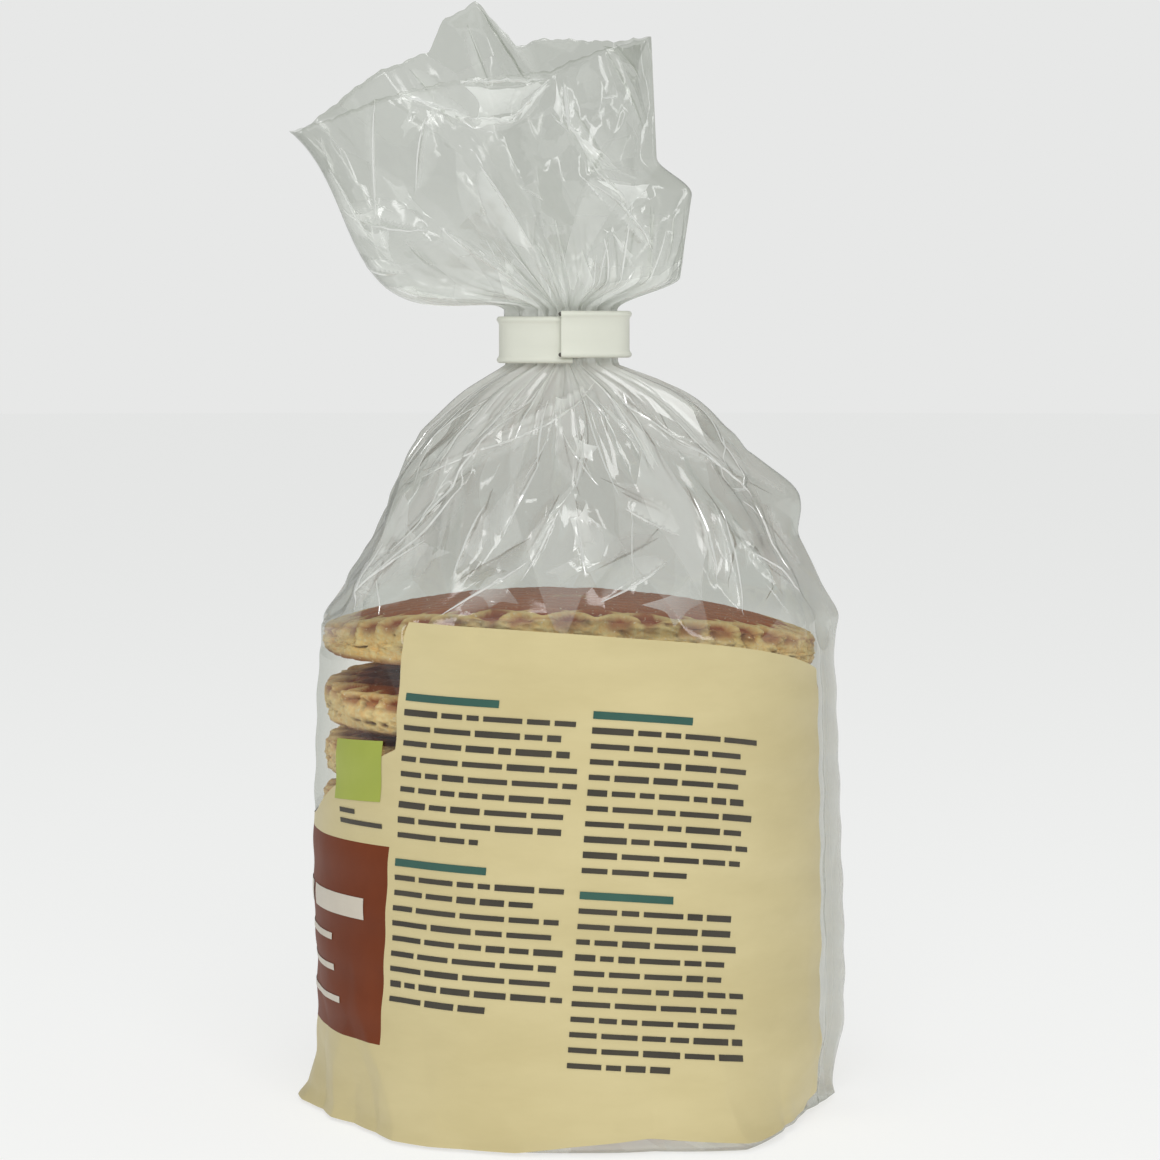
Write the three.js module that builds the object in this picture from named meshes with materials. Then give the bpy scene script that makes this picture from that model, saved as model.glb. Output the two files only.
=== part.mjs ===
// A clear bag of round syrup waffles, tied at the neck with a flat wired strip.
// Millimetres, +Z up. The origin is the centre of the flat bottom, on the axis of the stack inside.
// The large printed panel faces -Y, and +X is to its right. Angle 0 faces -Y, a quarter turn +X.
import * as THREE from "three";
import { ParametricGeometry } from "three/addons/geometries/ParametricGeometry.js";

// The stack of waffles that fills the lower bag
const WAFFLES = 10;
const WAFFLE_PITCH = 8.3;
const STACK_TOP = WAFFLES * WAFFLE_PITCH;

// The flat strip with a wire bead along each edge, and how much its outer end rides up
const STRIP_HEIGHT = 8;
const STRIP_THICK = 0.8;
const STRIP_GAP = 0.4;
const STRIP_LIFT = 0.95;
const BEAD_OUT = 0.4;
const BEAD_WIDE = 1.1;
const BEAD_ROUND = 0.35;

// The strip starts at this angle in degrees, runs round clockwise and ends on its own start
const STRIP_START = 17;
const STRIP_TURN = 383;
const STRIP_LAP = STRIP_THICK + BEAD_OUT + 0.15;
const LAP_SHARE = [0.78, 0.93];
const LIFT_SHARE = [0.3, 0.78];

// The neck, where the strip holds the gathered film
const NECK_X = -1;
const NECK_MIDDLE = 131.5;
const NECK_HALF_WIDTH = 10;
const NECK_HALF_DEPTH = 4.6;
const NECK_REACH = (STRIP_HEIGHT + STRIP_LIFT) / 2 + 0.2;
const NECK_LOW = NECK_MIDDLE - NECK_REACH;
const NECK_HIGH = NECK_MIDDLE + NECK_REACH;

// Roundness of each ring: 2 is an ellipse, more is squarer
const OVAL_POWER = 2.15;

// How far the film stands from the axis to the right, left, front and back, at a few heights
const WALL = {
  z: [0, 3, 12, 45, STACK_TOP, 88, 96, 106, 116, 122, NECK_LOW],
  right: [45.6, 44.2, 44.2, 44, 42.8, 40.6, 37, 32.6, 26.6, 21, NECK_HALF_WIDTH],
  left: [46, 44.2, 43.5, 44, 42.5, 38.9, 34.4, 29.4, 23, 17.5, NECK_HALF_WIDTH],
  front: [47.6, 45.6, 44.6, 44, 43.6, 41.4, 36, 29, 20.5, 13.5, NECK_HALF_DEPTH],
  back: [47, 45.2, 44.6, 44.2, 43.8, 42, 37.5, 30.5, 22, 14.5, NECK_HALF_DEPTH],
};

// Folds of spare film that stand out along the height: angle and half width in degrees
const FIN_Z = [0, 12, 45, STACK_TOP, 96, 105, 110, 118, NECK_LOW];
const FINS = [
  { angle: 97, half: 15, out: [2, 3.9, 3.6, 2.9, 4, 6.8, 5.4, 2.8, 0] },
  { angle: 208, half: 17, out: [2, 3, 2.6, 2.2, 4, 5.6, 4.4, 2, 0] },
];

// Corners and dents of the folded bottom: angle, depth and half width in degrees
const BOTTOM = [
  { angle: 33, out: 6, half: 16 },
  { angle: -56, out: -4.6, half: 28 },
  { angle: 67, out: -2, half: 14 },
  { angle: 150, out: -1.8, half: 20 },
  { angle: 217, out: 4.8, half: 16 },
  { angle: -90, out: 0.8, half: 10 },
];
const BOTTOM_FADE = 6;
const BOTTOM_ROUNDING = 0.5;

// Gathers that run up to the neck and out of it again
const GATHERS = 17;
const GATHER_DEPTH = 0.2;

// Creased facets: turns round the bag, cycles per millimetre of height, depth and phase
const CREASES = [
  { turns: 9, slope: 0.021, depth: 1.3, phase: 0.13 },
  { turns: -7, slope: 0.037, depth: 1.1, phase: 0.61 },
  { turns: 4, slope: -0.056, depth: 0.9, phase: 0.37 },
];
const BODY_CREASE_SHARE = 0.07;
const WAFFLE_BULGE = 0.2;

// The open mouth above the neck: its corners, and the height of its back and front edge at x
const MOUTH_LEFT = -47.8;
const MOUTH_RIGHT = 13.8;
const MOUTH_HALF_DEPTH = 13;
const MOUTH_SAG = 4;
const BACK_EDGE = {
  x: [MOUTH_LEFT, -33.6, -24.5, -22.5, -16.4, -9.2, -5, MOUTH_RIGHT],
  z: [166.2, 177, 181.3, 186.4, 190, 181.6, 182.9, 182.6],
};
const FRONT_EDGE = {
  x: [MOUTH_LEFT, -31, -18.8, -3.4, 5, MOUTH_RIGHT],
  z: [166.2, 171.5, 174.6, 176, 179.5, 182.6],
};

// How the mouth swells between the neck and its edge: to the left, and in two lobes on the right
const LEFT_SWELL = { x: -5.8, z: -9 };
const RIGHT_LOBE = 10.6;
const RIGHT_UPPER = 4.2;
const LOBE_START = 0.12;
const LOBE_END = [0.42, 0.56];
const BELLY = 5;
const MOUTH_FOLDS = 6;
const MOUTH_FOLD_DEPTH = 3.4;

// Mesh density, and where the triangles of the flat bottom meet
const AROUND = 88;
const SHOULDER_ROWS = 10;
const MOUTH_ROWS = 13;
const STRIP_STEPS = 60;
const BASE_FAN = { x: -12, y: 9 };

const TAU = 2 * Math.PI;
const { clamp, degToRad, euclideanModulo, smoothstep } = THREE.MathUtils;

// A smooth curve through the values ys at xs, read at x
function through(xs, ys, x) {
  const last = xs.length - 1;
  if (x <= xs[0]) return ys[0];
  if (x >= xs[last]) return ys[last];
  const i = xs.findIndex((edge) => edge > x) - 1;
  const slope = (k) => {
    const low = Math.max(k - 1, 0);
    const high = Math.min(k + 1, last);
    return (ys[high] - ys[low]) / (xs[high] - xs[low]);
  };
  const span = xs[i + 1] - xs[i];
  const t = (x - xs[i]) / span;
  const rise = ys[i + 1] - ys[i];
  const start = slope(i) * span;
  const end = slope(i + 1) * span;
  return ys[i] + t * (start + t * (3 * rise - 2 * start - end + t * (start + end - 2 * rise)));
}

// Straight lines between the values ys at xs, read at x
function along(xs, ys, x) {
  const i = clamp(xs.findIndex((edge) => edge > x), 1, xs.length - 1);
  const t = clamp((x - xs[i - 1]) / (xs[i] - xs[i - 1]), 0, 1);
  return ys[i - 1] + t * (ys[i] - ys[i - 1]);
}

// A wave of straight slopes between -1 and 1, one cycle for each whole number
function zigzag(x) {
  return 4 * Math.abs(x - Math.floor(x + 0.5)) - 1;
}

// A tent of height 1 at an angle in degrees that falls to 0 at half degrees from it
function tent(a, angle, half) {
  const away = Math.abs(euclideanModulo(a - degToRad(angle) + Math.PI, TAU) - Math.PI);
  return Math.max(0, 1 - away / degToRad(half));
}

// An oval with its own reach on each of the four sides, read at angle a
function oval(a, right, left, front, back) {
  const across = Math.abs(Math.sin(a)) / (Math.sin(a) > 0 ? right : left);
  const deep = Math.abs(Math.cos(a)) / (Math.cos(a) > 0 ? front : back);
  return (across ** OVAL_POWER + deep ** OVAL_POWER) ** (-1 / OVAL_POWER);
}

// The uneven gathers, from -1 in a fold to 1 on a crest
function gather(a) {
  return zigzag((GATHERS * a + 1.1 * Math.sin(2 * a + 1) + 0.9 * Math.sin(3 * a + 2.4)) / TAU);
}

function creases(a, z) {
  const waves = CREASES.map((c) => c.depth * zigzag((c.turns * a) / TAU + c.slope * z + c.phase));
  return waves.reduce((sum, wave) => sum + wave, 0);
}

// Distance of the film from the axis, from the bottom to the neck
function wallRadius(a, z) {
  const reach = [WALL.right, WALL.left, WALL.front, WALL.back].map((side) => through(WALL.z, side, z));
  let r = oval(a, ...reach);
  for (const fin of FINS) r += through(FIN_Z, fin.out, z) * tent(a, fin.angle, fin.half);
  for (const fold of BOTTOM) r += fold.out * tent(a, fold.angle, fold.half) * Math.exp(-z / BOTTOM_FADE);
  const inStack = 1 - smoothstep(z, STACK_TOP - 6, STACK_TOP);
  const inShoulder = (1 - inStack) * (1 - smoothstep(z, NECK_LOW - 12, NECK_LOW));
  r += creases(a, z) * (BODY_CREASE_SHARE * inStack + inShoulder);
  r -= WAFFLE_BULGE * inStack * Math.cos((TAU * z) / WAFFLE_PITCH);
  const towardsNeck = clamp((z - STACK_TOP) / (NECK_LOW - STACK_TOP), 0, 1) ** 1.6;
  return r * (1 + (GATHER_DEPTH / 2) * towardsNeck * (gather(a) - 1));
}

// A point of the wall, whose middle leans over to the neck above the stack
function wallPoint(a, z, target) {
  const r = wallRadius(a, z);
  const middle = NECK_X * smoothstep(z, STACK_TOP, NECK_LOW);
  target.set(middle + r * Math.sin(a), -r * Math.cos(a), z);
}

// A point on the edge of the open mouth
function mouthEdge(a) {
  const middle = (MOUTH_LEFT + MOUTH_RIGHT) / 2;
  const x = middle + ((MOUTH_RIGHT - MOUTH_LEFT) / 2) * Math.sin(a);
  const edge = Math.cos(a) > 0 ? FRONT_EDGE : BACK_EDGE;
  const folds = MOUTH_FOLD_DEPTH * Math.sin(MOUTH_FOLDS * a + 0.8);
  return new THREE.Vector3(x, -MOUTH_HALF_DEPTH * Math.cos(a) + folds, along(edge.x, edge.z, x));
}

// The film above the neck, from the strip (t = 0) out to the edge of the mouth (t = 1)
function mouthPoint(a, t, target) {
  const low = new THREE.Vector3();
  wallPoint(a, NECK_LOW, low);
  low.z = NECK_HIGH;
  target.lerpVectors(low, mouthEdge(a), t);

  const right = Math.max(Math.sin(a), 0) ** 2;
  const left = Math.min(Math.sin(a), 0) ** 2;
  const swell = Math.sin(Math.PI * t ** 0.8) ** 2;
  const upper = smoothstep(t, ...LOBE_END);
  const lobe = smoothstep(t, 0, LOBE_START) * (1 - upper);
  target.x += left * LEFT_SWELL.x * swell;
  target.x += right * (RIGHT_LOBE * lobe + RIGHT_UPPER * upper * 2 * (1 - t));
  target.z += left * LEFT_SWELL.z * swell;

  const middle = Math.sin(Math.PI * t);
  const fold = MOUTH_FOLD_DEPTH * Math.sin((MOUTH_FOLDS + 3) * a + 2 + 2 * t);
  const facets = 0.8 * creases(a + 0.4, NECK_MIDDLE + 50 * t);
  target.y -= 0.5 * middle * (fold + facets) * Math.cos(a) * Math.abs(Math.cos(a));
  target.y -= BELLY * Math.sin(Math.PI * t ** 0.7) * Math.cos(a);

  const pleat = 1 + 0.4 * GATHER_DEPTH * (1 - t) ** 2 * (gather(a) - 1);
  target.x = NECK_X + (target.x - NECK_X) * pleat;
  target.y *= pleat;
}

// Where the solid closes between the front and the back of the mouth, a little below both
function mouthMiddle(a, target) {
  target.addVectors(mouthEdge(a), mouthEdge(Math.PI - a)).multiplyScalar(0.5);
  target.z -= MOUTH_SAG * Math.cos(a) ** 2;
}

// The rows of the bag, from the middle of its bottom to the middle of its mouth
function bagRows() {
  const rows = [(a, target) => target.set(BASE_FAN.x, BASE_FAN.y, 0)];
  const wall = (z) => rows.push((a, target) => wallPoint(a, z, target));
  rows.push((a, target) => {
    const r = wallRadius(a, 0) - BOTTOM_ROUNDING;
    target.set(r * Math.sin(a), -r * Math.cos(a), 0);
  });
  wall(BOTTOM_ROUNDING);
  for (let z = WAFFLE_PITCH / 2; z < STACK_TOP; z += WAFFLE_PITCH / 2) wall(z);
  for (let k = 0; k <= SHOULDER_ROWS; k += 1) {
    wall(STACK_TOP + ((NECK_LOW - STACK_TOP) * k) / SHOULDER_ROWS);
  }
  for (let k = 0; k <= MOUTH_ROWS; k += 1) {
    rows.push((a, target) => mouthPoint(a, k / MOUTH_ROWS, target));
  }
  rows.push(mouthMiddle);
  return rows;
}

// One closed body through the rows, each row once round from the left
function bag() {
  const rows = bagRows();
  const point = (u, v, target) => {
    const a = TAU * (u % 1) - Math.PI / 2;
    rows[Math.round(v * (rows.length - 1))](a, target);
  };
  const film = new THREE.MeshStandardMaterial({ color: 0xd9ded8, roughness: 0.15, metalness: 0 });
  const mesh = new THREE.Mesh(new ParametricGeometry(point, AROUND, rows.length - 1), film);
  mesh.name = "bag";
  return mesh;
}

// The strip's section: distance out from its inner face, and height, once round
function stripSection() {
  const top = STRIP_HEIGHT / 2;
  const out = STRIP_THICK + BEAD_OUT;
  const half = [
    [STRIP_THICK, top - BEAD_WIDE - 0.15],
    [out - 0.25, top - BEAD_WIDE + 0.05],
    [out, top - BEAD_WIDE + BEAD_ROUND],
    [out, top - BEAD_ROUND],
    [out - BEAD_ROUND, top],
    [BEAD_ROUND, top],
    [0, top - 0.1],
  ];
  return [...half, ...half.map(([n, z]) => [n, -z]).reverse()];
}

// The outermost line of the gathered film in the neck
function neckOval(a) {
  const r = oval(a, NECK_HALF_WIDTH, NECK_HALF_WIDTH, NECK_HALF_DEPTH, NECK_HALF_DEPTH);
  return new THREE.Vector3(NECK_X + r * Math.sin(a), -r * Math.cos(a), NECK_MIDDLE);
}

// The strip's section as it stands after a share of its run round the neck
function stripRow(done, section) {
  const a = degToRad(STRIP_START - STRIP_TURN * done);
  const step = 0.02;
  const tangent = neckOval(a + step).sub(neckOval(a - step)).normalize();
  const outward = new THREE.Vector3(tangent.y, -tangent.x, 0);
  const lap = STRIP_LAP * smoothstep(done, ...LAP_SHARE);
  const lift = STRIP_LIFT * (smoothstep(done, ...LIFT_SHARE) - 0.5);
  const inner = neckOval(a).addScaledVector(outward, STRIP_GAP + lap);
  return section.map(([n, z]) => {
    const p = inner.clone().addScaledVector(outward, n);
    p.z += lift + z;
    return p;
  });
}

// The middle of a row, repeated, which closes the strip's cut end
function endCap(row) {
  const middle = row.reduce((sum, p) => sum.add(p), new THREE.Vector3()).divideScalar(row.length);
  return row.map(() => middle);
}

function tieStrip() {
  const section = stripSection();
  const rows = Array.from({ length: STRIP_STEPS + 1 }, (_, k) => stripRow(k / STRIP_STEPS, section));
  const closed = [endCap(rows[0]), ...rows, endCap(rows.at(-1))];
  const point = (u, v, target) => {
    const row = closed[Math.round(v * (closed.length - 1))];
    target.copy(row[Math.round(u * section.length) % section.length]);
  };
  const white = new THREE.MeshStandardMaterial({ color: 0xdfe0d4, roughness: 0.45, metalness: 0 });
  const geometry = new ParametricGeometry(point, section.length, closed.length - 1);
  const mesh = new THREE.Mesh(geometry, white);
  mesh.name = "tie_strip";
  return mesh;
}

const part = new THREE.Group();
part.add(bag(), tieStrip());

export default part;
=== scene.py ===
# %% [markdown]
# # A clear bag of stroopwafels, tied at the neck
#
# Ten round syrup waffles stand in a bag of thin clear film. The film is gathered above them, held by a
# flat wired strip, and fans out into an open, crumpled mouth. Printed panels lie on the lower bag.
#
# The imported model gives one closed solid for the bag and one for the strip. Here the bag's solid is replaced
# by what the real one is: a single sheet of film, a stack of waffles inside it, and the ink on it.

# %% Load the fixed frame
import itertools
import math
import bpy
import numpy as np
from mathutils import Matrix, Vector
from mathutils.geometry import delaunay_2d_cdt


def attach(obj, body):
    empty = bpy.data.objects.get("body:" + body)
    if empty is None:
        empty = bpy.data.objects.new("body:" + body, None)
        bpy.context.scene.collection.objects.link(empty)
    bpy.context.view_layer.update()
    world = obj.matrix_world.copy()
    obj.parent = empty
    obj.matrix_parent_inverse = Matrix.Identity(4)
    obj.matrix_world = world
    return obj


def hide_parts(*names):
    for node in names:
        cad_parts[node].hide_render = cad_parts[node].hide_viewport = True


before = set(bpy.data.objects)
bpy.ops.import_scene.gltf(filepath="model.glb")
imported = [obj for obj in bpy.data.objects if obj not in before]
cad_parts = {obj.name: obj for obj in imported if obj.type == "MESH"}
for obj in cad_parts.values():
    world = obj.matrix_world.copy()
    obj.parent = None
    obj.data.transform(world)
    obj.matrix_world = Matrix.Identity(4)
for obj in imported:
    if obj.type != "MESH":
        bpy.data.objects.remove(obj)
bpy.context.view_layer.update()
BODY = "root"
MM = 0.001
TAU = 2 * math.pi

# %% [markdown]
# ## Camera
#
# The photograph looks at the bag from a little above the top waffle, level with the neck strip. A long lens
# from 65 cm gives the same slight perspective: the bottom is seen from above, the mouth almost from the side.

# %% The camera of the photograph
CAMERA_PLACE = (0.66 * MM, -650 * MM, 134 * MM)
CAMERA_PITCH = 0.068
CAMERA_YAW = -0.0016
CAMERA_LENS_MM = 117.4

bpy.ops.object.select_all(action="DESELECT")
bpy.ops.object.camera_add(location=CAMERA_PLACE, rotation=(math.pi / 2 - CAMERA_PITCH, 0, CAMERA_YAW))
camera = bpy.context.object
camera.data.lens = CAMERA_LENS_MM
camera.data.sensor_width = 36
camera.data.clip_start = 0.01
bpy.context.scene.camera = camera
bpy.context.scene.view_settings.view_transform = "Standard"
print("camera at", [round(v, 3) for v in camera.location])

# %% [markdown]
# ## Sizes that the whole bag shares
#
# These are the same driving sizes as the solid's, in millimetres. Every piece below reads them, so the film,
# its print and the waffles stay in step, and the film keeps the form of the solid that it replaces.

# %% Driving sizes
WAFFLES = 10
WAFFLE_PITCH = 8.3
STACK_TOP = WAFFLES * WAFFLE_PITCH
WAFFLE_RADIUS = 42.0

STRIP_HEIGHT = 8.0
STRIP_THICK = 0.8
STRIP_GAP = 0.4
STRIP_LIFT = 0.95
NECK_X = -1.0
NECK_MIDDLE = 131.5
NECK_HALF_WIDTH = 10.0
NECK_HALF_DEPTH = 4.6
NECK_REACH = (STRIP_HEIGHT + STRIP_LIFT) / 2 + 0.2
NECK_LOW = NECK_MIDDLE - NECK_REACH
NECK_HIGH = NECK_MIDDLE + NECK_REACH
OVAL_POWER = 2.15
print(f"the stack's top at {STACK_TOP:.1f} mm, the neck from {NECK_LOW:.1f} to {NECK_HIGH:.1f} mm")

WALL_Z = [0, 3, 12, 45, STACK_TOP, 88, 96, 106, 116, 122, NECK_LOW]
WALL = {
    "right": [45.6, 44.2, 44.2, 44, 42.8, 40.6, 37, 32.6, 26.6, 21, NECK_HALF_WIDTH],
    "left": [46, 44.2, 43.5, 44, 42.5, 38.9, 34.4, 29.4, 23, 17.5, NECK_HALF_WIDTH],
    "front": [47.6, 45.6, 44.6, 44, 43.6, 41.4, 36, 29, 20.5, 13.5, NECK_HALF_DEPTH],
    "back": [47, 45.2, 44.6, 44.2, 43.8, 42, 37.5, 30.5, 22, 14.5, NECK_HALF_DEPTH],
}
FIN_Z = [0, 12, 45, STACK_TOP, 96, 105, 110, 118, NECK_LOW]
FINS = [
    (97, 15, [2, 3.9, 3.6, 2.9, 4, 6.8, 5.4, 2.8, 0]),
    (208, 17, [2, 3, 2.6, 2.2, 4, 5.6, 4.4, 2, 0]),
]
BOTTOM = [(33, 6, 16), (-56, -4.6, 28), (67, -2, 14), (150, -1.8, 20), (217, 4.8, 16), (-90, 0.8, 10)]
BOTTOM_FADE = 6
BOTTOM_ROUNDING = 0.5
GATHERS = 17
GATHER_DEPTH = 0.2
CREASES = [(9, 0.021, 1.3, 0.13), (-7, 0.037, 1.1, 0.61), (4, -0.056, 0.9, 0.37)]

# %% [markdown]
# ## Helpers for curves and folds
#
# A sheet of film is one surface, so one function gives its distance from the axis at each angle and height.
# Small helpers read smooth curves and zigzag folds for whole arrays of points at once, which keeps a dense
# sheet quick to make.

# %% Curve and fold helpers
def through(xs, ys, x):
    """A smooth curve through the values ys at xs, read at x."""
    xs, ys = np.asarray(xs, float), np.asarray(ys, float)
    x = np.clip(x, xs[0], xs[-1])
    low = np.maximum(np.arange(len(xs)) - 1, 0)
    high = np.minimum(np.arange(len(xs)) + 1, len(xs) - 1)
    slopes = (ys[high] - ys[low]) / (xs[high] - xs[low])
    i = np.clip(np.searchsorted(xs, x, side="right") - 1, 0, len(xs) - 2)
    span = xs[i + 1] - xs[i]
    t = (x - xs[i]) / span
    rise, start, end = ys[i + 1] - ys[i], slopes[i] * span, slopes[i + 1] * span
    return ys[i] + t * (start + t * (3 * rise - 2 * start - end + t * (start + end - 2 * rise)))


def smoothstep(x, low, high):
    t = np.clip((x - low) / (high - low), 0, 1)
    return t * t * (3 - 2 * t)


def zigzag(x):
    """A wave of straight slopes between -1 and 1, one cycle for each whole number."""
    return 4 * np.abs(x - np.floor(x + 0.5)) - 1


def tent(a, angle, half):
    away = np.abs(np.mod(a - math.radians(angle) + math.pi, TAU) - math.pi)
    return np.maximum(0, 1 - away / math.radians(half))


def oval(a, right, left, front, back):
    across = np.abs(np.sin(a)) / np.where(np.sin(a) > 0, right, left)
    deep = np.abs(np.cos(a)) / np.where(np.cos(a) > 0, front, back)
    return (across**OVAL_POWER + deep**OVAL_POWER) ** (-1 / OVAL_POWER)


def gather(a):
    return zigzag((GATHERS * a + 1.1 * np.sin(2 * a + 1) + 0.9 * np.sin(3 * a + 2.4)) / TAU)


def creases(a, z):
    return sum(depth * zigzag(turns * a / TAU + slope * z + phase) for turns, slope, depth, phase in CREASES)


# %% [markdown]
# ## Crumples
#
# Thin film can't stretch, so where it has too much room it breaks into flat facets that meet in sharp
# straight creases. The same thing is made here on purpose: points are scattered over the sheet with a fixed
# seed, each gets a height of its own, and flat triangles join them. A smooth noise would look like cloth.

# %% A field of flat facets
FIELD_COLUMNS, FIELD_ROWS = 1440, 480


def crumple_field(across, up, seed, aspect):
    """Random heights joined by flat triangles, once round. Returns a reader for turns and rise, 0 to 1."""
    rng = np.random.default_rng(seed)
    spots, heights = [], []
    for j in range(up + 1):
        for i in range(across):
            x = (i + 0.5 * (j % 2) + rng.uniform(-0.36, 0.36)) / across % 1
            y = (j + rng.uniform(-0.36, 0.36) * (0 < j < up)) / up
            height = rng.uniform(-1, 1)
            for turn in (-1, 0, 1):
                if -0.3 < x + turn < 1.3:
                    spots.append(Vector((x + turn, y * aspect)))
                    heights.append(height)
    places, _, faces, origin, _, _ = delaunay_2d_cdt(spots, [], [], 0, 1e-7)
    picture = np.zeros((FIELD_ROWS + 1, FIELD_COLUMNS + 1))
    for face in faces:
        corners = [(places[k].x * FIELD_COLUMNS, places[k].y / aspect * FIELD_ROWS) for k in face]
        (x0, y0), (x1, y1), (x2, y2) = corners
        area = (x1 - x0) * (y2 - y0) - (x2 - x0) * (y1 - y0)
        left, right = max(0, math.ceil(min(x0, x1, x2))), min(FIELD_COLUMNS, math.floor(max(x0, x1, x2)))
        low, high = max(0, math.ceil(min(y0, y1, y2))), min(FIELD_ROWS, math.floor(max(y0, y1, y2)))
        if abs(area) < 1e-6 or right < left or high < low:
            continue
        px, py = np.meshgrid(np.arange(left, right + 1), np.arange(low, high + 1))
        s = ((px - x0) * (y2 - y0) - (x2 - x0) * (py - y0)) / area
        t = ((x1 - x0) * (py - y0) - (px - x0) * (y1 - y0)) / area
        inside = (s >= -1e-3) & (t >= -1e-3) & (s + t <= 1.001)
        level = [heights[origin[k][0]] for k in face]
        values = (1 - s - t) * level[0] + s * level[1] + t * level[2]
        picture[py[inside], px[inside]] = values[inside]

    def read(turns, rise):
        x, y = np.mod(turns, 1) * FIELD_COLUMNS, np.clip(rise, 0, 1) * FIELD_ROWS
        i, j = np.minimum(x.astype(int), FIELD_COLUMNS - 1), np.minimum(y.astype(int), FIELD_ROWS - 1)
        s, t = x - i, y - j
        low = picture[j, i] * (1 - s) + picture[j, i + 1] * s
        return low * (1 - t) + (picture[j + 1, i] * (1 - s) + picture[j + 1, i + 1] * s) * t

    return read


shoulder_facets = crumple_field(22, 4, 11, 0.2)
shoulder_wrinkles = crumple_field(50, 8, 12, 0.2)
body_wrinkles = crumple_field(30, 9, 13, 0.33)
mouth_facets = crumple_field(13, 4, 24, 0.42)
mouth_wrinkles = crumple_field(30, 9, 15, 0.42)
print("facet fields ready")

# %% [markdown]
# ## Long folds
#
# Over the fine crumples lie the long folds that one notices first. Each is a straight crest with a broad
# flank on one side and a steep one on the other, and runs out at both ends. A row gives both ends of the
# crest as the front view shows them, right of the axis and above the bottom, then its width, height and skew.

# %% Folds of the shoulder and the mouth
SHOULDER_FOLDS = [
    (4, 124, -26, 108, 5, 0.9, 0.3), (-8, 120, -30, 96, 6, 1.1, 0.7), (-17, 108, -34, 91, 5, 1.0, 0.25),
    (-1.5, 121, -2.5, 112, 4.5, 0.9, 0.2), (2.2, 115, 1, 107, 5.5, 1.1, 0.75), (1, 102, 2.6, 93, 6, 1.2, 0.3),
    (6.5, 121, 14, 109.5, 3.2, 0.8, 0.3), (9, 121, 24, 110.5, 4, 0.9, 0.7), (18, 114, 38, 104, 5, 1.1, 0.25),
    (20.5, 105, 24, 91.5, 3.6, 0.9, 0.3), (25, 103, 28.5, 86, 4.2, 0.9, 0.7),
    (9, 103.5, 18, 99, 5, -1.2, 0.3), (-8, 92, -2, 103, 3, 0.8, 0.25),
    (-36, 88, -24, 98, 8, 1.3, 0.7), (-31, 97, -36, 86, 5, 0.9, 0.3),
    (-21, 86.5, -7, 95, 4, 0.8, 0.7), (5, 89, 16, 95, 5, 0.9, 0.25), (30, 96, 39, 88, 6, 1.0, 0.3),
    (-14, 104, -19, 93, 4, 0.8, 0.3), (34, 103, 40, 92, 4, -0.9, 0.7), (-5, 111, -11, 99, 3.5, 0.7, 0.7),
]
MOUTH_FRONT_FOLDS = [
    (-29.5, 172.5, -16.5, 168, 3.2, 1.0, 0.3), (-17, 168, -9.5, 167.4, 2.6, 1.0, 0.7),
    (-10, 167.2, -3.2, 174.6, 4, 1.2, 0.3), (-18, 174, -4, 174.8, 6, 1.3, 0.15),
    (-1, 168, 10, 153.5, 6.5, 1.5, 0.2), (-34, 176, -33, 152, 2.4, 0.6, 0.5),
    (-38.5, 153, -24, 149.5, 5, 1.1, 0.3), (-41, 160, -34, 148, 4, 0.9, 0.7),
    (-36, 143, -28, 142.4, 3, 0.8, 0.3), (-30, 140, -20, 138, 3, 0.8, 0.7),
    (-24, 168, -26, 156, 4, 0.8, 0.25), (-15, 160, -6, 146, 5, 0.9, 0.7),
    (0, 165, -1, 174, 3.4, 1.1, 0.6), (2, 158, 14, 146, 5, 0.9, 0.3), (-22, 150, -9, 141, 4, 0.9, 0.7),
]
MOUTH_BACK_FOLDS = [
    (-16, 189, -5.5, 175.5, 4, -1.3, 0.3), (-18, 186, -14, 175, 2.5, -0.7, 0.7),
    (6, 181.5, 13, 166, 4.5, -1.2, 0.25),
    (8, 182, 12, 176, 7, -1.2, 0.7), (-28, 178, -20, 168, 4, -0.8, 0.3), (0, 172, 8, 160, 6, -1.0, 0.7),
]


def fold_shares(x, z, folds):
    """For each fold: its height, its skew, how far it has run out, and the place across it, 0 to 1."""
    for x0, z0, x1, z1, width, height, skew in folds:
        length = math.hypot(x1 - x0, z1 - z0)
        ahead = ((x - x0) * (x1 - x0) + (z - z0) * (z1 - z0)) / length**2
        aside = ((z - z0) * (x1 - x0) - (x - x0) * (z1 - z0)) / length
        fade = np.sin(math.pi * np.clip(ahead, 0, 1)) ** 0.7
        yield height, skew, fade, aside / (width * np.maximum(fade, 0.05)) + skew


def fold_height(x, z, folds):
    """How far the folds lift the film at a place in the front view, in millimetres."""
    total = 0.0
    for height, skew, fade, share in fold_shares(x, z, folds):
        flank = np.minimum(share / skew, (1 - share) / (1 - skew))
        total = total + height * fade * np.maximum(flank, 0)
    return total


def fold_flank(x, z, folds):
    """Where the broad flank of a fold lies: 1 at its crest, less away from it, 0 off the fold."""
    most = 0.0 * x
    for height, skew, fade, share in fold_shares(x, z, folds):
        reach = (1 - share) / (1 - skew) if skew < 0.5 else share / skew
        broad = np.where((share > skew) == (skew < 0.5), np.clip(reach, 0, 1), 0)
        most = np.maximum(most, (0.35 + 0.65 * broad) * (broad > 0.02) * (fade > 0.3))
    return most


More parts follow.
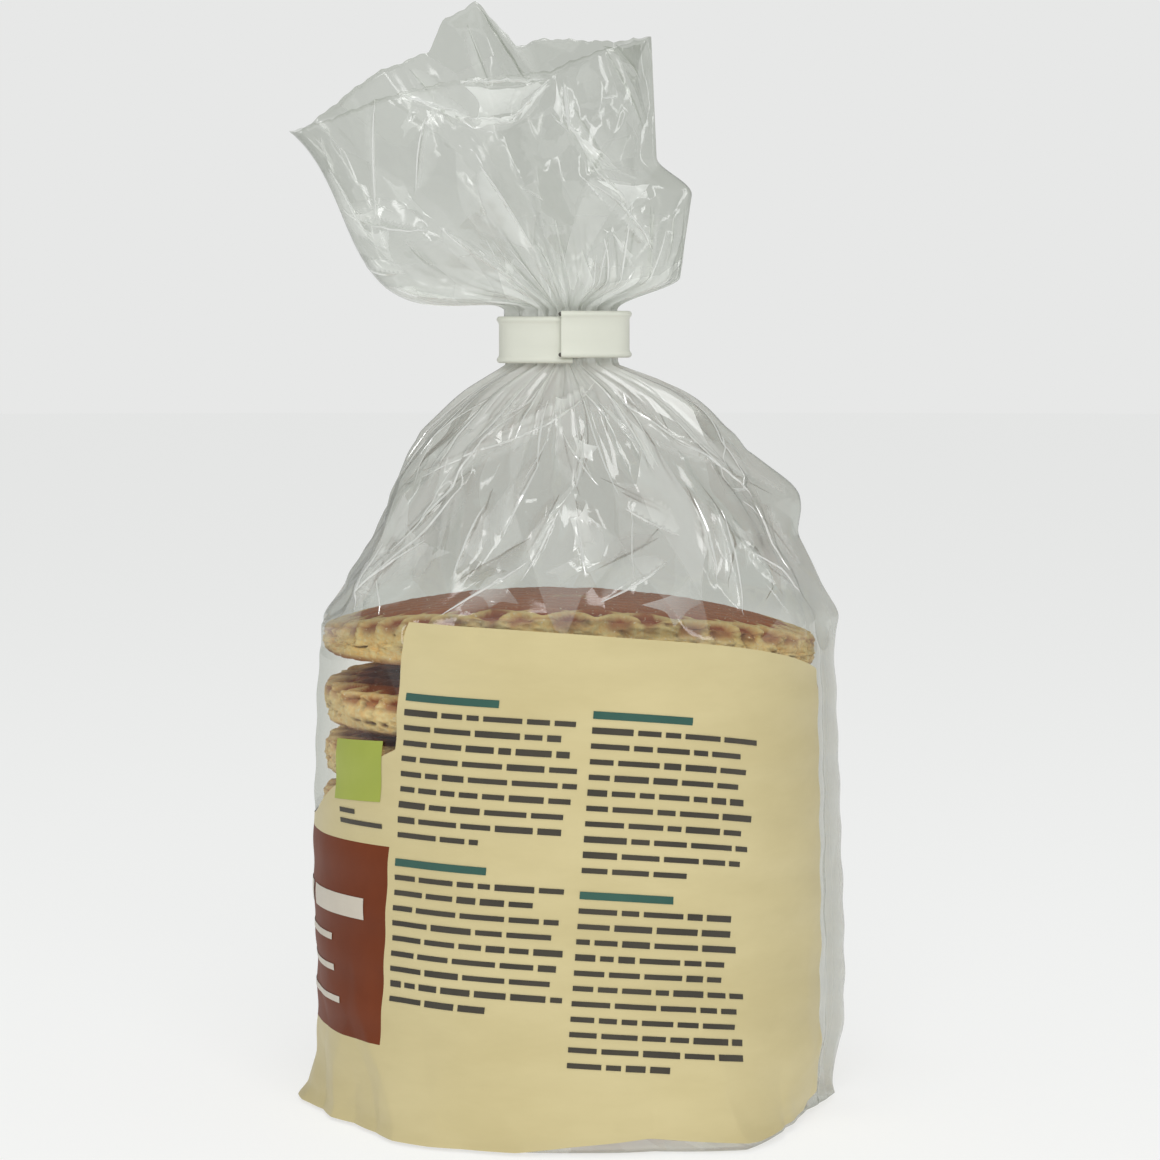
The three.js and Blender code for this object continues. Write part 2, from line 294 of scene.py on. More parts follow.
# %% [markdown]
# ## The film's surface
#
# Below the neck the film is a distance from the axis: a wall that the stack holds round, a shoulder that
# runs in to the neck, two folds of spare film that stand out, and the folded corners of the bottom. The film
# may not cut into the waffles, so it is kept just outside them and drapes over the edge of the top one.

# %% The wall and the shoulder
SHOULDER_FACET = 1.9
SHOULDER_WRINKLE = 0.3
SHOULDER_CREASE_SHARE = 0.4
BODY_WRINKLE = 0.12
FOOT_WRINKLE = 1.5
WAFFLE_BULGE = 0.12
PULL_POWER = 3.2
FINE_GATHERS = 41
CLEAR_OF_WAFFLE = 0.8
RIM_HEIGHT, RIM_SINK, RIM_RIGHT, RIM_FRONT = 86.0, 4.5, 0.95, 0.9
DRAPE_SLOPE = 1.3


def in_stack(z):
    return 1 - smoothstep(z, STACK_TOP - 6, STACK_TOP + 1)


def film_radius(a, z):
    """Distance of the film from the axis, in millimetres, from the bottom to the neck."""
    a, z = np.broadcast_arrays(np.asarray(a, float), np.asarray(z, float))
    r = oval(a, *(through(WALL_Z, WALL[side], z) for side in ("right", "left", "front", "back")))
    for angle, half, out in FINS:
        r = r + through(FIN_Z, out, z) * tent(a, angle, half)
    for angle, out, half in BOTTOM:
        r = r + out * tent(a, angle, half) * np.exp(-z / BOTTOM_FADE)
    stack = in_stack(z)
    shoulder = (1 - stack) * (1 - smoothstep(z, NECK_LOW - 12, NECK_LOW))
    turns, rise = a / TAU, (z - STACK_TOP) / (NECK_LOW - STACK_TOP)
    crumple = SHOULDER_CREASE_SHARE * creases(a, z) + SHOULDER_FACET * shoulder_facets(turns, rise)
    crumple = crumple + SHOULDER_WRINKLE * shoulder_wrinkles(turns, rise)
    slack = BODY_WRINKLE + FOOT_WRINKLE * np.exp(-z / 10)
    r = r + shoulder * crumple + stack * slack * body_wrinkles(turns, z / STACK_TOP)
    r = r - stack * WAFFLE_BULGE * np.cos(TAU * z / WAFFLE_PITCH)
    side = np.where(np.cos(a) > 0, 1.0, -1.0)
    facing = smoothstep(np.abs(np.cos(a)), 0, 0.15) * (1 - stack)
    r = r + facing * fold_height(side * r * np.sin(a), z, SHOULDER_FOLDS)
    pull = np.clip(rise, 0, 1) ** PULL_POWER
    pleats = gather(a) + 0.45 * zigzag((FINE_GATHERS * a + 1.7 * np.sin(a + 0.4)) / TAU)
    r = r * (1 + GATHER_DEPTH / 2 * pull * (pleats - 1.45))
    waffle_rim = RIM_HEIGHT - RIM_SINK * np.sin(a) ** 2 - RIM_RIGHT * np.sin(a) + RIM_FRONT * np.cos(a)
    stay_out = WAFFLE_RADIUS + CLEAR_OF_WAFFLE - DRAPE_SLOPE * np.maximum(z - waffle_rim, 0)
    return np.maximum(r, np.where(z < STACK_TOP + 25, stay_out, 0))


def wall_points(a, z, out=0.0):
    """Points on the wall, or out millimetres in front of it."""
    r = film_radius(a, z) + out
    middle = NECK_X * smoothstep(z, STACK_TOP, NECK_LOW)
    return np.stack([middle + r * np.sin(a), -r * np.cos(a), z + 0 * r], axis=-1)


for height in (STACK_TOP / 2, STACK_TOP + 20, NECK_LOW):
    print(f"the film's front at {height:.0f} mm: {film_radius([0.0], [height])[0]:.1f} mm from the axis")


# %% [markdown]
# Above the strip the film opens again into a flattened fan. Each point runs from the neck out to the cut
# edge, leaning far to the left, with one deep lobe low on the right. Front and back are two sheets that meet
# in a fold at each side.

# %% The mouth
MOUTH_LEFT, MOUTH_RIGHT = -47.8, 13.8
MOUTH_HALF_DEPTH = 13
BACK_EDGE_X = [MOUTH_LEFT, -33.6, -24.5, -22.5, -16.4, -9.2, -5, MOUTH_RIGHT]
BACK_EDGE_Z = [166.2, 177, 181.3, 186.4, 190, 181.6, 182.9, 182.6]
FRONT_EDGE_X = [MOUTH_LEFT, -31, -18.8, -3.4, 5, MOUTH_RIGHT]
FRONT_EDGE_Z = [166.2, 171.5, 174.6, 176, 179.5, 182.6]
LEFT_SWELL = (-5.8, -9)
RIGHT_LOBE, RIGHT_UPPER = 10.6, 4.2
LOBE_START, LOBE_END = 0.12, (0.42, 0.56)
BELLY = 5
MOUTH_FOLDS, MOUTH_FOLD_DEPTH = 6, 3.4
MOUTH_FACET, MOUTH_WRINKLE = 2.4, 0.6
EDGE_NOTCH = 0.35


def mouth_edge(a):
    middle, half = (MOUTH_LEFT + MOUTH_RIGHT) / 2, (MOUTH_RIGHT - MOUTH_LEFT) / 2
    x = middle + half * np.sin(a)
    back, front = np.interp(x, BACK_EDGE_X, BACK_EDGE_Z), np.interp(x, FRONT_EDGE_X, FRONT_EDGE_Z)
    z = np.where(np.cos(a) > 0, front, back) + EDGE_NOTCH * zigzag(x / 3.1) * zigzag(x / 7.3)
    y = -MOUTH_HALF_DEPTH * np.cos(a) + MOUTH_FOLD_DEPTH * np.sin(MOUTH_FOLDS * a + 0.8)
    return x, y, z


def mouth_points(a, t):
    """Points on the film above the neck, from the strip (t = 0) to the cut edge (t = 1)."""
    neck = wall_points(a, np.full(np.shape(a), NECK_LOW))
    smooth = 0.86 * oval(a, NECK_HALF_WIDTH, NECK_HALF_WIDTH, NECK_HALF_DEPTH, NECK_HALF_DEPTH)
    neck_x, neck_y = NECK_X + smooth * np.sin(a), -smooth * np.cos(a)
    edge_x, edge_y, edge_z = mouth_edge(a)
    pleated = (1 - t) ** 6
    x = neck_x + (edge_x - neck_x) * t + (neck[..., 0] - neck_x) * pleated
    y = neck_y + (edge_y - neck_y) * t + (neck[..., 1] - neck_y) * pleated
    z = NECK_HIGH + (edge_z - NECK_HIGH) * t
    right, left = np.maximum(np.sin(a), 0) ** 2, np.minimum(np.sin(a), 0) ** 2
    swell = np.sin(math.pi * t**0.8) ** 2
    upper = smoothstep(t, *LOBE_END)
    lobe = smoothstep(t, 0, LOBE_START) * (1 - upper)
    x = x + left * LEFT_SWELL[0] * swell + right * (RIGHT_LOBE * lobe + RIGHT_UPPER * upper * 2 * (1 - t))
    z = z + left * LEFT_SWELL[1] * swell
    middle = np.sin(math.pi * t)
    fold = MOUTH_FOLD_DEPTH * np.sin((MOUTH_FOLDS + 3) * a + 2 + 2 * t)
    facets = 0.8 * creases(a + 0.4, NECK_MIDDLE + 50 * t)
    y = y - 0.5 * middle * (fold + facets) * np.cos(a) * np.abs(np.cos(a))
    y = y - BELLY * np.sin(math.pi * t**0.7) * np.cos(a)
    free = smoothstep(t, 0, 0.3)
    crumple = MOUTH_FACET * mouth_facets(a / TAU, t) + MOUTH_WRINKLE * mouth_wrinkles(a / TAU, t)
    y = y - free * crumple * np.sign(np.cos(a)) * np.minimum(1, 2.5 * np.abs(np.cos(a)))
    pleats = gather(a) + 0.45 * zigzag((FINE_GATHERS * a + 1.7 * np.sin(a + 0.4)) / TAU)
    squeeze = 1 + 0.4 * GATHER_DEPTH * (1 - t) ** 7 * (pleats - 1)
    x, y = NECK_X + (x - NECK_X) * squeeze, y * squeeze
    facing = smoothstep(np.abs(np.cos(a)), 0, 0.3)
    front_folds, back_folds = fold_height(x, z, MOUTH_FRONT_FOLDS), fold_height(x, z, MOUTH_BACK_FOLDS)
    y = y + facing * np.where(np.cos(a) > 0, -front_folds, back_folds)
    return np.stack([x, y, z], axis=-1)


# %% [markdown]
# ## A grid that a function shapes
#
# A sheet starts as Blender's grid primitive. Its points carry two shares from 0 to 1, along the columns and
# the rows, and a function turns them into places on the bag. Edges that meet are merged afterwards.

# %% Sheet helper
def sheet(name, columns, rows, place, colours=None):
    """A grid whose points are put where place(u, v) says, in millimetres, and may be given colours."""
    bpy.ops.object.select_all(action="DESELECT")
    bpy.ops.mesh.primitive_grid_add(x_subdivisions=columns, y_subdivisions=rows, size=1)
    piece = bpy.context.object
    piece.name = piece.data.name = name
    flat = np.empty(len(piece.data.vertices) * 3)
    piece.data.vertices.foreach_get("co", flat)
    u, v = flat[0::3] + 0.5, flat[1::3] + 0.5
    piece.data.vertices.foreach_set("co", (place(u, v) * MM).astype(np.float32).ravel())
    if colours is not None:
        layer = piece.data.color_attributes.new("bake", "FLOAT_COLOR", "POINT")
        layer.data.foreach_set("color", colours().astype(np.float32).ravel())
    piece.data.update()
    bpy.ops.object.mode_set(mode="EDIT")
    bpy.ops.mesh.select_all(action="SELECT")
    bpy.ops.mesh.remove_doubles(threshold=0.00002)
    bpy.ops.mesh.normals_make_consistent(inside=False)
    bpy.ops.object.mode_set(mode="OBJECT")
    bpy.ops.object.shade_smooth()
    return piece


def mesh_piece(name, points, faces):
    """A piece made straight from its points, in metres, and faces."""
    mesh = bpy.data.meshes.new(name)
    mesh.from_pydata(points, [], faces)
    mesh.update()
    piece = bpy.data.objects.new(name, mesh)
    bpy.context.scene.collection.objects.link(piece)
    return piece


def grid_faces(first, rows, columns):
    """The quads between rows of points, where a row has one point more than there are columns."""
    starts = [first + j * (columns + 1) + k for j in range(rows) for k in range(columns)]
    return [(start, start + columns + 1, start + columns + 2, start + 1) for start in starts]


def points_of(piece):
    flat = np.empty(len(piece.data.vertices) * 3)
    piece.data.vertices.foreach_get("co", flat)
    return flat.reshape(-1, 3) / MM


def finish_piece(piece, material, node="bag"):
    piece.data.materials.clear()
    piece.data.materials.append(material)
    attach(piece, BODY)
    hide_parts(node)
    print(f"{piece.name}: {len(piece.data.polygons)} faces")


# %% [markdown]
# ## Helpers for materials
#
# A material is a small graph of nodes. These helpers make a node in one line and link whatever it is given: a
# plain number stays on the node's own socket, and another node's output is linked to it.

# %% Material helpers
def new_material(name):
    material = bpy.data.materials.new(name)
    material.use_nodes = True
    material.node_tree.nodes.clear()
    return material, material.node_tree


def feed(tree, value, socket):
    if isinstance(value, bpy.types.NodeSocket):
        tree.links.new(value, socket)
    else:
        socket.default_value = value


def add_node(tree, kind, **values):
    made = tree.nodes.new(kind)
    for key, value in values.items():
        feed(tree, value, made.inputs[key.replace("_", " ")])
    return made


def operate(tree, kind, operation, *values):
    made = tree.nodes.new(kind)
    made.operation = operation
    for socket, value in zip(made.inputs, values):
        feed(tree, value, socket)
    return made.outputs[0]


def maths(tree, operation, first, second):
    return operate(tree, "ShaderNodeMath", operation, first, second)


def vectors(tree, operation, *values):
    return operate(tree, "ShaderNodeVectorMath", operation, *values)


def spread(tree, source, low, high, to_low=0.0, to_high=1.0):
    """Turn values from low to high into values from to_low to to_high."""
    made = add_node(tree, "ShaderNodeMapRange", Value=source, From_Min=low, From_Max=high, To_Min=to_low,
                    To_Max=to_high)
    return made.outputs["Result"]


def blend(tree, factor, low, high):
    made = tree.nodes.new("ShaderNodeMix")
    made.data_type = "RGBA"
    for socket, value in ((made.inputs["Factor"], factor), (made.inputs[6], low), (made.inputs[7], high)):
        feed(tree, value, socket)
    return made.outputs[2]


def cloudy(tree, vector, scale, detail, roughness):
    made = add_node(tree, "ShaderNodeTexNoise", Vector=vector, Scale=scale, Detail=detail,
                    Roughness=roughness)
    return made.outputs["Fac"]


def mix_shaders(tree, factor, first, second):
    made = add_node(tree, "ShaderNodeMixShader", Fac=factor)
    feed(tree, first.outputs[0], made.inputs[1])
    feed(tree, second.outputs[0], made.inputs[2])
    return made


def show(tree, shader, kind="ShaderNodeOutputMaterial"):
    add_node(tree, kind, Surface=shader.outputs[0])


def grained_skin(tree, colour, roughness, specular, grain, strength, depth):
    """A plain surface with a fine grain, as the result of the material."""
    bump = add_node(tree, "ShaderNodeBump", Height=grain, Strength=strength, Distance=depth)
    skin = add_node(tree, "ShaderNodeBsdfPrincipled", Base_Color=colour, Roughness=roughness,
                    Specular_IOR_Level=specular, Normal=bump.outputs["Normal"])
    show(tree, skin)


# %% [markdown]
# ## Clear film
#
# Real film is thinner than a hair, so it is one sheet with no wall. It lets most light through, a little
# greyed, and mirrors the lamps more at a slant, the same from both sides.
#
# The finest facets are too many to model. They are drawn on the unrolled sheet instead: straight-edged cells
# each lean their own way, so each mirrors something else, and some are a little milkier, a painted highlight
# for facets that catch the light. The broad flanks of the long folds are milkier too, a painted sheen, and
# near the neck the film is milkier, partly its own haze and partly a painted highlight. Where the stack
# stretches the film it is clearer than where it hangs slack, and the part of the back that stands above the
# front's edge is folded double.

# %% Film material
FACET_SCALE = (3.6, 9.0)
FACET_TILT = (0.3, 0.14)
BODY_CREASING = 0.15
# Milky shares. On facets and fold flanks they are a painted highlight and sheen, and near the neck partly a
# painted highlight. The haze of the fin, body and shoulder is the film's own.
FACET_HIGHLIGHT_HAZE, FOLD_SHEEN_HAZE, NECK_HAZE_AND_HIGHLIGHT, FIN_HAZE = 0.2, 0.2, 0.4, 0.35
BODY_HAZE, SHOULDER_HAZE = 0.006, 0.055
STRETCHED_TINT = (0.92, 0.92, 0.895, 1)
STRETCHED_GLOSS = 0.5
EDGE_ON_POWER = 2.2


def film_material(name, tint, least_haze, shine):
    """Film that is clear, milky and glossy in shares that its wear, its painted sheen and highlights and its
    slant give.
    """
    material, tree = new_material(name)
    unrolled = tree.nodes.new("ShaderNodeAttribute")
    unrolled.attribute_name = "unrolled"
    wear_and_sheen = tree.nodes.new("ShaderNodeVertexColor")
    wear_and_sheen.layer_name = "wear_and_sheen"
    amount = add_node(tree, "ShaderNodeSeparateColor", Color=wear_and_sheen.outputs["Color"])
    creased, haze_and_highlight_share, flank_sheen = (amount.outputs[key] for key in ("Red", "Green", "Blue"))
    thick = wear_and_sheen.outputs["Alpha"]

    def facets(scale, tilt):
        cells = add_node(tree, "ShaderNodeTexVoronoi", Vector=unrolled.outputs["Vector"], Scale=scale,
                         Randomness=1.0)
        lean = vectors(tree, "SUBTRACT", cells.outputs["Color"], (0.5, 0.5, 0.5))
        return cells, vectors(tree, "MULTIPLY", lean, (tilt, tilt, tilt))

    (large, large_lean), (_, small_lean) = (facets(*pair) for pair in zip(FACET_SCALE, FACET_TILT))
    lean = vectors(tree, "MULTIPLY", vectors(tree, "ADD", large_lean, small_lean), creased)
    shape = tree.nodes.new("ShaderNodeNewGeometry")
    normal = vectors(tree, "NORMALIZE", vectors(tree, "ADD", shape.outputs["Normal"], lean))

    tone = add_node(tree, "ShaderNodeSeparateColor", Color=large.outputs["Color"])
    # Random cells made milkier: a painted highlight for facets that catch the light.
    painted_facet_highlight = spread(tree, tone.outputs["Blue"], 0.55, 1.0, 0.0, FACET_HIGHLIGHT_HAZE)
    painted_facet_highlight = maths(tree, "MULTIPLY", painted_facet_highlight, creased)
    # Broad flanks of the long folds made milkier: a painted sheen.
    painted_fold_sheen = maths(tree, "MULTIPLY", flank_sheen, FOLD_SHEEN_HAZE)
    haze_and_highlight = maths(tree, "ADD", maths(tree, "ADD", painted_facet_highlight, painted_fold_sheen), maths(tree, "ADD", haze_and_highlight_share, least_haze))

    slant = add_node(tree, "ShaderNodeLayerWeight", Blend=0.5, Normal=normal)
    facing = slant.outputs["Facing"]
    twice, slanted = (tuple(c**power for c in tint[:3]) + (1,) for power in (2, EDGE_ON_POWER))
    single = blend(tree, spread(tree, thick, 0.0, 0.5), STRETCHED_TINT, tint)
    doubled = blend(tree, spread(tree, thick, 0.5, 1.0), single, twice)
    clear_colour = blend(tree, spread(tree, facing, 0.45, 1.3), doubled, slanted)
    clear = add_node(tree, "ShaderNodeBsdfTransparent", Color=clear_colour)
    # The milk is the film's haze. On pinches, flats, pale facets, fold flanks and near the neck it is also a
    # painted highlight.
    milk = add_node(tree, "ShaderNodeBsdfDiffuse", Color=(0.93, 0.95, 0.91, 1))
    gloss = add_node(tree, "ShaderNodeBsdfGlossy", Color=(1, 1, 1, 1), Roughness=0.11, Normal=normal)
    mirror = spread(tree, maths(tree, "POWER", facing, 5.0), 0.0, 1.0, shine, 0.7)
    mirror = maths(tree, "MULTIPLY", mirror, spread(tree, thick, 0.0, 0.5, STRETCHED_GLOSS, 1.0))
    show(tree, mix_shaders(tree, mirror, mix_shaders(tree, haze_and_highlight, clear, milk), gloss))
    return material


clear_film = film_material("clear_film", (0.77, 0.782, 0.752, 1), least_haze=0.0, shine=0.07)
# Pinched creases: very milky, a painted highlight for their thin bright lines.
crease_highlight_film = film_material("crease_highlight_film", (0.97, 0.975, 0.97, 1), least_haze=0.55, shine=0.25)
# Flats: milky patches, a painted highlight where the film stands square to the light.
flat_highlight_film = film_material("flat_highlight_film", (0.98, 0.985, 0.975, 1), least_haze=0.0, shine=0.1)


def note_wear_and_sheen(piece, unrolled, creasing, haze_and_highlight, flank_sheen, thick=0.5):
    """Keep each point's place on the unrolled sheet, how creased and thick the film is, how milky it is (its
    haze and painted highlights), and the painted sheen on the flanks of folds.
    """
    where = piece.data.attributes.new("unrolled", "FLOAT_VECTOR", "POINT")
    where.data.foreach_set("vector", unrolled.astype(np.float32).ravel())
    wear_and_sheen = piece.data.color_attributes.new("wear_and_sheen", "FLOAT_COLOR", "POINT")
    colours = np.stack([creasing, haze_and_highlight, flank_sheen, thick + 0 * haze_and_highlight], axis=-1)
    wear_and_sheen.data.foreach_set("color", colours.astype(np.float32).ravel())


# %% The bag's film, from the middle of its bottom up into the strip
BAG_COLUMNS = 420
BAG_ROWS = 170
BOTTOM_SHARE, BODY_SHARE, SHOULDER_SHARE = 0.08, 0.42, 0.96
BOTTOM_PLEAT = 0.5
BOTTOM_RISE = 0.4


def bag_film(u, v):
    a = TAU * u - math.pi / 2
    z = np.interp(v, [BOTTOM_SHARE, BODY_SHARE, SHOULDER_SHARE, 1],
                  [BOTTOM_RISE, STACK_TOP - 8, NECK_LOW, NECK_MIDDLE])
    points = wall_points(a, np.minimum(z, NECK_LOW))
    points[:, 2] = z
    below = v < BOTTOM_SHARE
    share = (v[below] / BOTTOM_SHARE) ** 0.8
    rim = wall_points(a[below], np.zeros(below.sum()))
    inner = 1 - BOTTOM_ROUNDING / 44
    pleat = BOTTOM_PLEAT * share * (1 - share) * 4 * (0.5 + 0.5 * zigzag(2 * a[below] / TAU + 0.1))
    points[below] = rim * (share * inner)[:, None]
    points[below, 2] = pleat
    return points


film_bag = sheet("film_bag", BAG_COLUMNS, BAG_ROWS, bag_film)


SEEN_RIGHT_EDGE = 93
x, y, z = points_of(film_bag).T
a = np.arctan2(x - NECK_X * smoothstep(z, STACK_TOP, NECK_LOW), -y)
up = (z - STACK_TOP) / (NECK_LOW - STACK_TOP)
foot_creasing = 0.7 * np.exp(-z / 10)
creasing = np.maximum(smoothstep(up, -0.12, 0.12), np.maximum(BODY_CREASING, foot_creasing))
# Milkier near the neck: partly the film's haze, partly a painted highlight over the many pleats.
haze_and_highlight = BODY_HAZE + SHOULDER_HAZE * smoothstep(up, 0, 0.2) + NECK_HAZE_AND_HIGHLIGHT * np.clip(up, 0, 1) ** 5
haze_and_highlight = haze_and_highlight + FIN_HAZE * tent(a, 97, 16) * (1 - smoothstep(up, 0, 0.4))
# The broad flanks of the shoulder's folds get a painted sheen.
flank_sheen = fold_flank(x, z, SHOULDER_FOLDS) * (z > STACK_TOP)
slack, overlapped = smoothstep(up, -0.1, 0.05), np.clip(2 * tent(a, SEEN_RIGHT_EDGE, 30), 0, 1)
note_wear_and_sheen(film_bag, np.stack([np.cos(a), np.sin(a), 0.6 * up], axis=-1), creasing, haze_and_highlight, flank_sheen,
          np.maximum(0.5 * slack, 0.36 * overlapped))
finish_piece(film_bag, clear_film)

# %% [markdown]
# The mouth is a second sheet that starts inside the strip. A cloth simulation could crumple it too, but its
# folds have to lie where the photograph shows them, so a function shapes it like the wall. On the back
# sheet, what stands above the front's edge is noted as folded double.

# %% The film above the strip
MOUTH_COLUMNS = 400
MOUTH_ROWS = 120
NECK_ROWS_SHARE = 0.05


def mouth_film(u, v):
    a = TAU * u - math.pi / 2
    t = np.clip((v - NECK_ROWS_SHARE) / (1 - NECK_ROWS_SHARE), 0, 1)
    points = mouth_points(a, t)
    neck = v < NECK_ROWS_SHARE
    points[neck, 2] = NECK_MIDDLE + (NECK_HIGH - NECK_MIDDLE) * v[neck] / NECK_ROWS_SHARE
    return points


film_mouth = sheet("film_mouth", MOUTH_COLUMNS, MOUTH_ROWS, mouth_film)
x, y, z = points_of(film_mouth).T
up = np.clip((z - NECK_HIGH) / 50, 0, 1.2)
spread_out = np.arctan2(x - NECK_X, z - NECK_HIGH + 12)
sheet_apart = np.where(y < 0, 0.0, 3.0)
# The broad flanks of the mouth's folds get a painted sheen.
mouth_flank_sheen = np.where(y < 0, fold_flank(x, z, MOUTH_FRONT_FOLDS), fold_flank(x, z, MOUTH_BACK_FOLDS))
above_front = smoothstep(z - np.interp(x, FRONT_EDGE_X, FRONT_EDGE_Z), 0.5, 1.6) * (y > 0)
# Near the neck the mouth is milkier too: partly haze, partly a painted highlight.
note_wear_and_sheen(film_mouth, np.stack([1.1 * spread_out, sheet_apart, 0.75 * up], axis=-1), 0.9 + 0 * z,
          0.05 + NECK_HAZE_AND_HIGHLIGHT * (1 - np.clip(up, 0, 1)) ** 5, mouth_flank_sheen, 0.5 + 0.5 * above_front)
finish_piece(film_mouth, clear_film)

# %% [markdown]
# ## Pinched creases
#
# Where film is folded sharply it stays pinched, and the pinch shines as a thin bright line. Each one here is
# a narrow ridge with two flanks, laid along a path on the film: along the crests of the long folds, and in
# many short lines that run out of the neck on both sides of the strip. The ridges are very milky, so their
# bright line is a painted highlight besides what they mirror.

# %% Ridges along paths
PINCH_STEPS = 26
PINCH_LIFT = 0.04
UNROLL_RADIUS = 40
RIDGE_CREASING = 0.2


def ridge_points(path, outward, width, height):
    """Left foot, crest and right foot along a path, each fading out at the ends."""
    ahead = np.gradient(path, axis=0)
    aside = np.cross(ahead, outward)
    aside /= np.maximum(np.linalg.norm(aside, axis=1, keepdims=True), 1e-9)
    fade = (np.sin(math.pi * np.linspace(0.01, 0.99, len(path))) ** 0.6)[:, None]
    foot = path + outward * PINCH_LIFT
    return foot - aside * width / 2 * fade, foot + outward * height * fade, foot + aside * width / 2 * fade


def ridge_mesh(name, ridges):
    points, faces = [], []
    for path, outward, width, height in ridges:
        first = len(points)
        for row in ridge_points(path, outward, width, height):
            points.extend((row * MM).tolist())
        faces.extend(grid_faces(first, 2, len(path) - 1))
    piece = mesh_piece(name, points, faces)
    even = np.zeros(len(points))
    note_wear_and_sheen(piece, points_of(piece) / UNROLL_RADIUS, RIDGE_CREASING + even, even, even)
    return piece


def bag_angle(x, z, front):
    """The angle at which the bag's front or back film stands at x."""
    a = 0.0
    for _ in range(12):
        r = film_radius(np.array([a]), np.array([z]))[0]
        a = math.asin(max(-0.97, min(0.97, (x - NECK_X * smoothstep(z, STACK_TOP, NECK_LOW)) / r)))
        a = a if front else math.pi - a
    return a


def bag_path(a0, z0, a1, z1, bow=0.0):
    t = np.linspace(0, 1, PINCH_STEPS)
    a = a0 + (a1 - a0) * t + bow * np.sin(math.pi * t)
    path = wall_points(a, z0 + (z1 - z0) * t)
    outward = np.stack([0.9 * np.sin(a), -0.9 * np.cos(a), np.full(PINCH_STEPS, 0.44)], axis=-1)
    return path, outward


# %% [markdown]
# The first creases follow the long folds, front and back. Then come many short ones that run down from the
# neck and a few strays between them, drawn from a fixed seed.

# %% Creases of the shoulder
rng = np.random.default_rng(31)
ridges = []
for x0, z0, x1, z1, width, height, skew in SHOULDER_FOLDS:
    for front in (True, False):
        z_low, z_high = max(z0, 84.5), max(z1, 84.5)
        ends = bag_angle(x0, z_low, front), bag_angle(x1, z_high, front)
        ridges.append((*bag_path(ends[0], z_low, ends[1], z_high), 0.5, 0.22))
NECK_PINCHES, SHOULDER_PINCHES = 48, 16
for k in range(NECK_PINCHES):
    a, top = TAU * (k + rng.uniform(0, 0.9)) / NECK_PINCHES, rng.uniform(121, NECK_LOW)
    low = top - rng.uniform(5, 26) * rng.uniform(0.4, 1)
    ridges.append((*bag_path(a, top, a + rng.uniform(-0.16, 0.16), low, rng.uniform(-0.03, 0.03)),
                   rng.uniform(0.25, 0.5), rng.uniform(0.1, 0.25)))
for k in range(SHOULDER_PINCHES):
    a, z = rng.uniform(0, TAU), 85 + 34 * rng.random()
    turn, length = rng.normal(0, 0.5), rng.uniform(3, 13)
    r = film_radius(np.array([a]), np.array([z]))[0]
    ridges.append((*bag_path(a, z, a + length * math.sin(turn) / r, max(84.5, z - length * math.cos(turn)),
                             rng.uniform(-0.01, 0.01)), rng.uniform(0.2, 0.42), rng.uniform(0.08, 0.2)))
finish_piece(ridge_mesh("film_shoulder_creases", ridges), crease_highlight_film)


# %% [markdown]
# The mouth has the same three kinds. Its sheets lie on a curved fan, so a place in the front view is looked
# up among many sample points of the surface instead of being worked out.

# %% Creases of the mouth
def mouth_path(a0, t0, a1, t1, bow=0.0):
    s = np.linspace(0, 1, PINCH_STEPS)
    a = a0 + (a1 - a0) * s + bow * np.sin(math.pi * s)
    path = mouth_points(a, np.clip(t0 + (t1 - t0) * s, 0, 1))
    side = np.where(np.cos(a) > 0, -1.0, 1.0)
    return path, np.stack([0 * side, side, 0 * side], axis=-1)


sample_a, sample_t = np.meshgrid(np.linspace(-math.pi / 2, 3 * math.pi / 2, 721), np.linspace(0, 1, 181))
sample_points = mouth_points(sample_a.ravel(), sample_t.ravel())
sample_front = np.cos(sample_a.ravel()) > 0


def mouth_spot(x, z, front):
    """The angle and rise on the mouth's front or back film that the front view shows at x and z."""
    away = (sample_points[:, 0] - x) ** 2 + (sample_points[:, 2] - z) ** 2 + 1e6 * (sample_front != front)
    best = int(np.argmin(away))
    return sample_a.ravel()[best], sample_t.ravel()[best]


ridges = []
for folds, front in ((MOUTH_FRONT_FOLDS, True), (MOUTH_BACK_FOLDS, False)):
    for x0, z0, x1, z1, width, height, skew in folds:
        start, end = mouth_spot(x0, z0, front), mouth_spot(x1, z1, front)
        ridges.append((*mouth_path(*start, *end), 0.5, 0.22))
MOUTH_NECK_PINCHES, MOUTH_PINCHES = 48, 12
for k in range(MOUTH_NECK_PINCHES):
    a, high = TAU * (k + rng.uniform(0, 0.9)) / MOUTH_NECK_PINCHES, rng.uniform(0.1, 0.42)
    low, swing, bow = rng.uniform(0, 0.06), rng.uniform(-0.12, 0.12), rng.uniform(-0.03, 0.03)
    ridges.append((*mouth_path(a, low, a + swing, high, bow), rng.uniform(0.25, 0.5), rng.uniform(0.1, 0.25)))
for k in range(MOUTH_PINCHES):
    a, t = rng.uniform(0, TAU), rng.uniform(0.2, 0.9)
    ridges.append((*mouth_path(a, t, a + rng.uniform(-0.2, 0.2), min(0.99, t + rng.uniform(-0.2, 0.2)),
                               rng.uniform(-0.02, 0.02)), rng.uniform(0.2, 0.45), rng.uniform(0.08, 0.22)))
finish_piece(ridge_mesh("film_mouth_creases", ridges), crease_highlight_film)
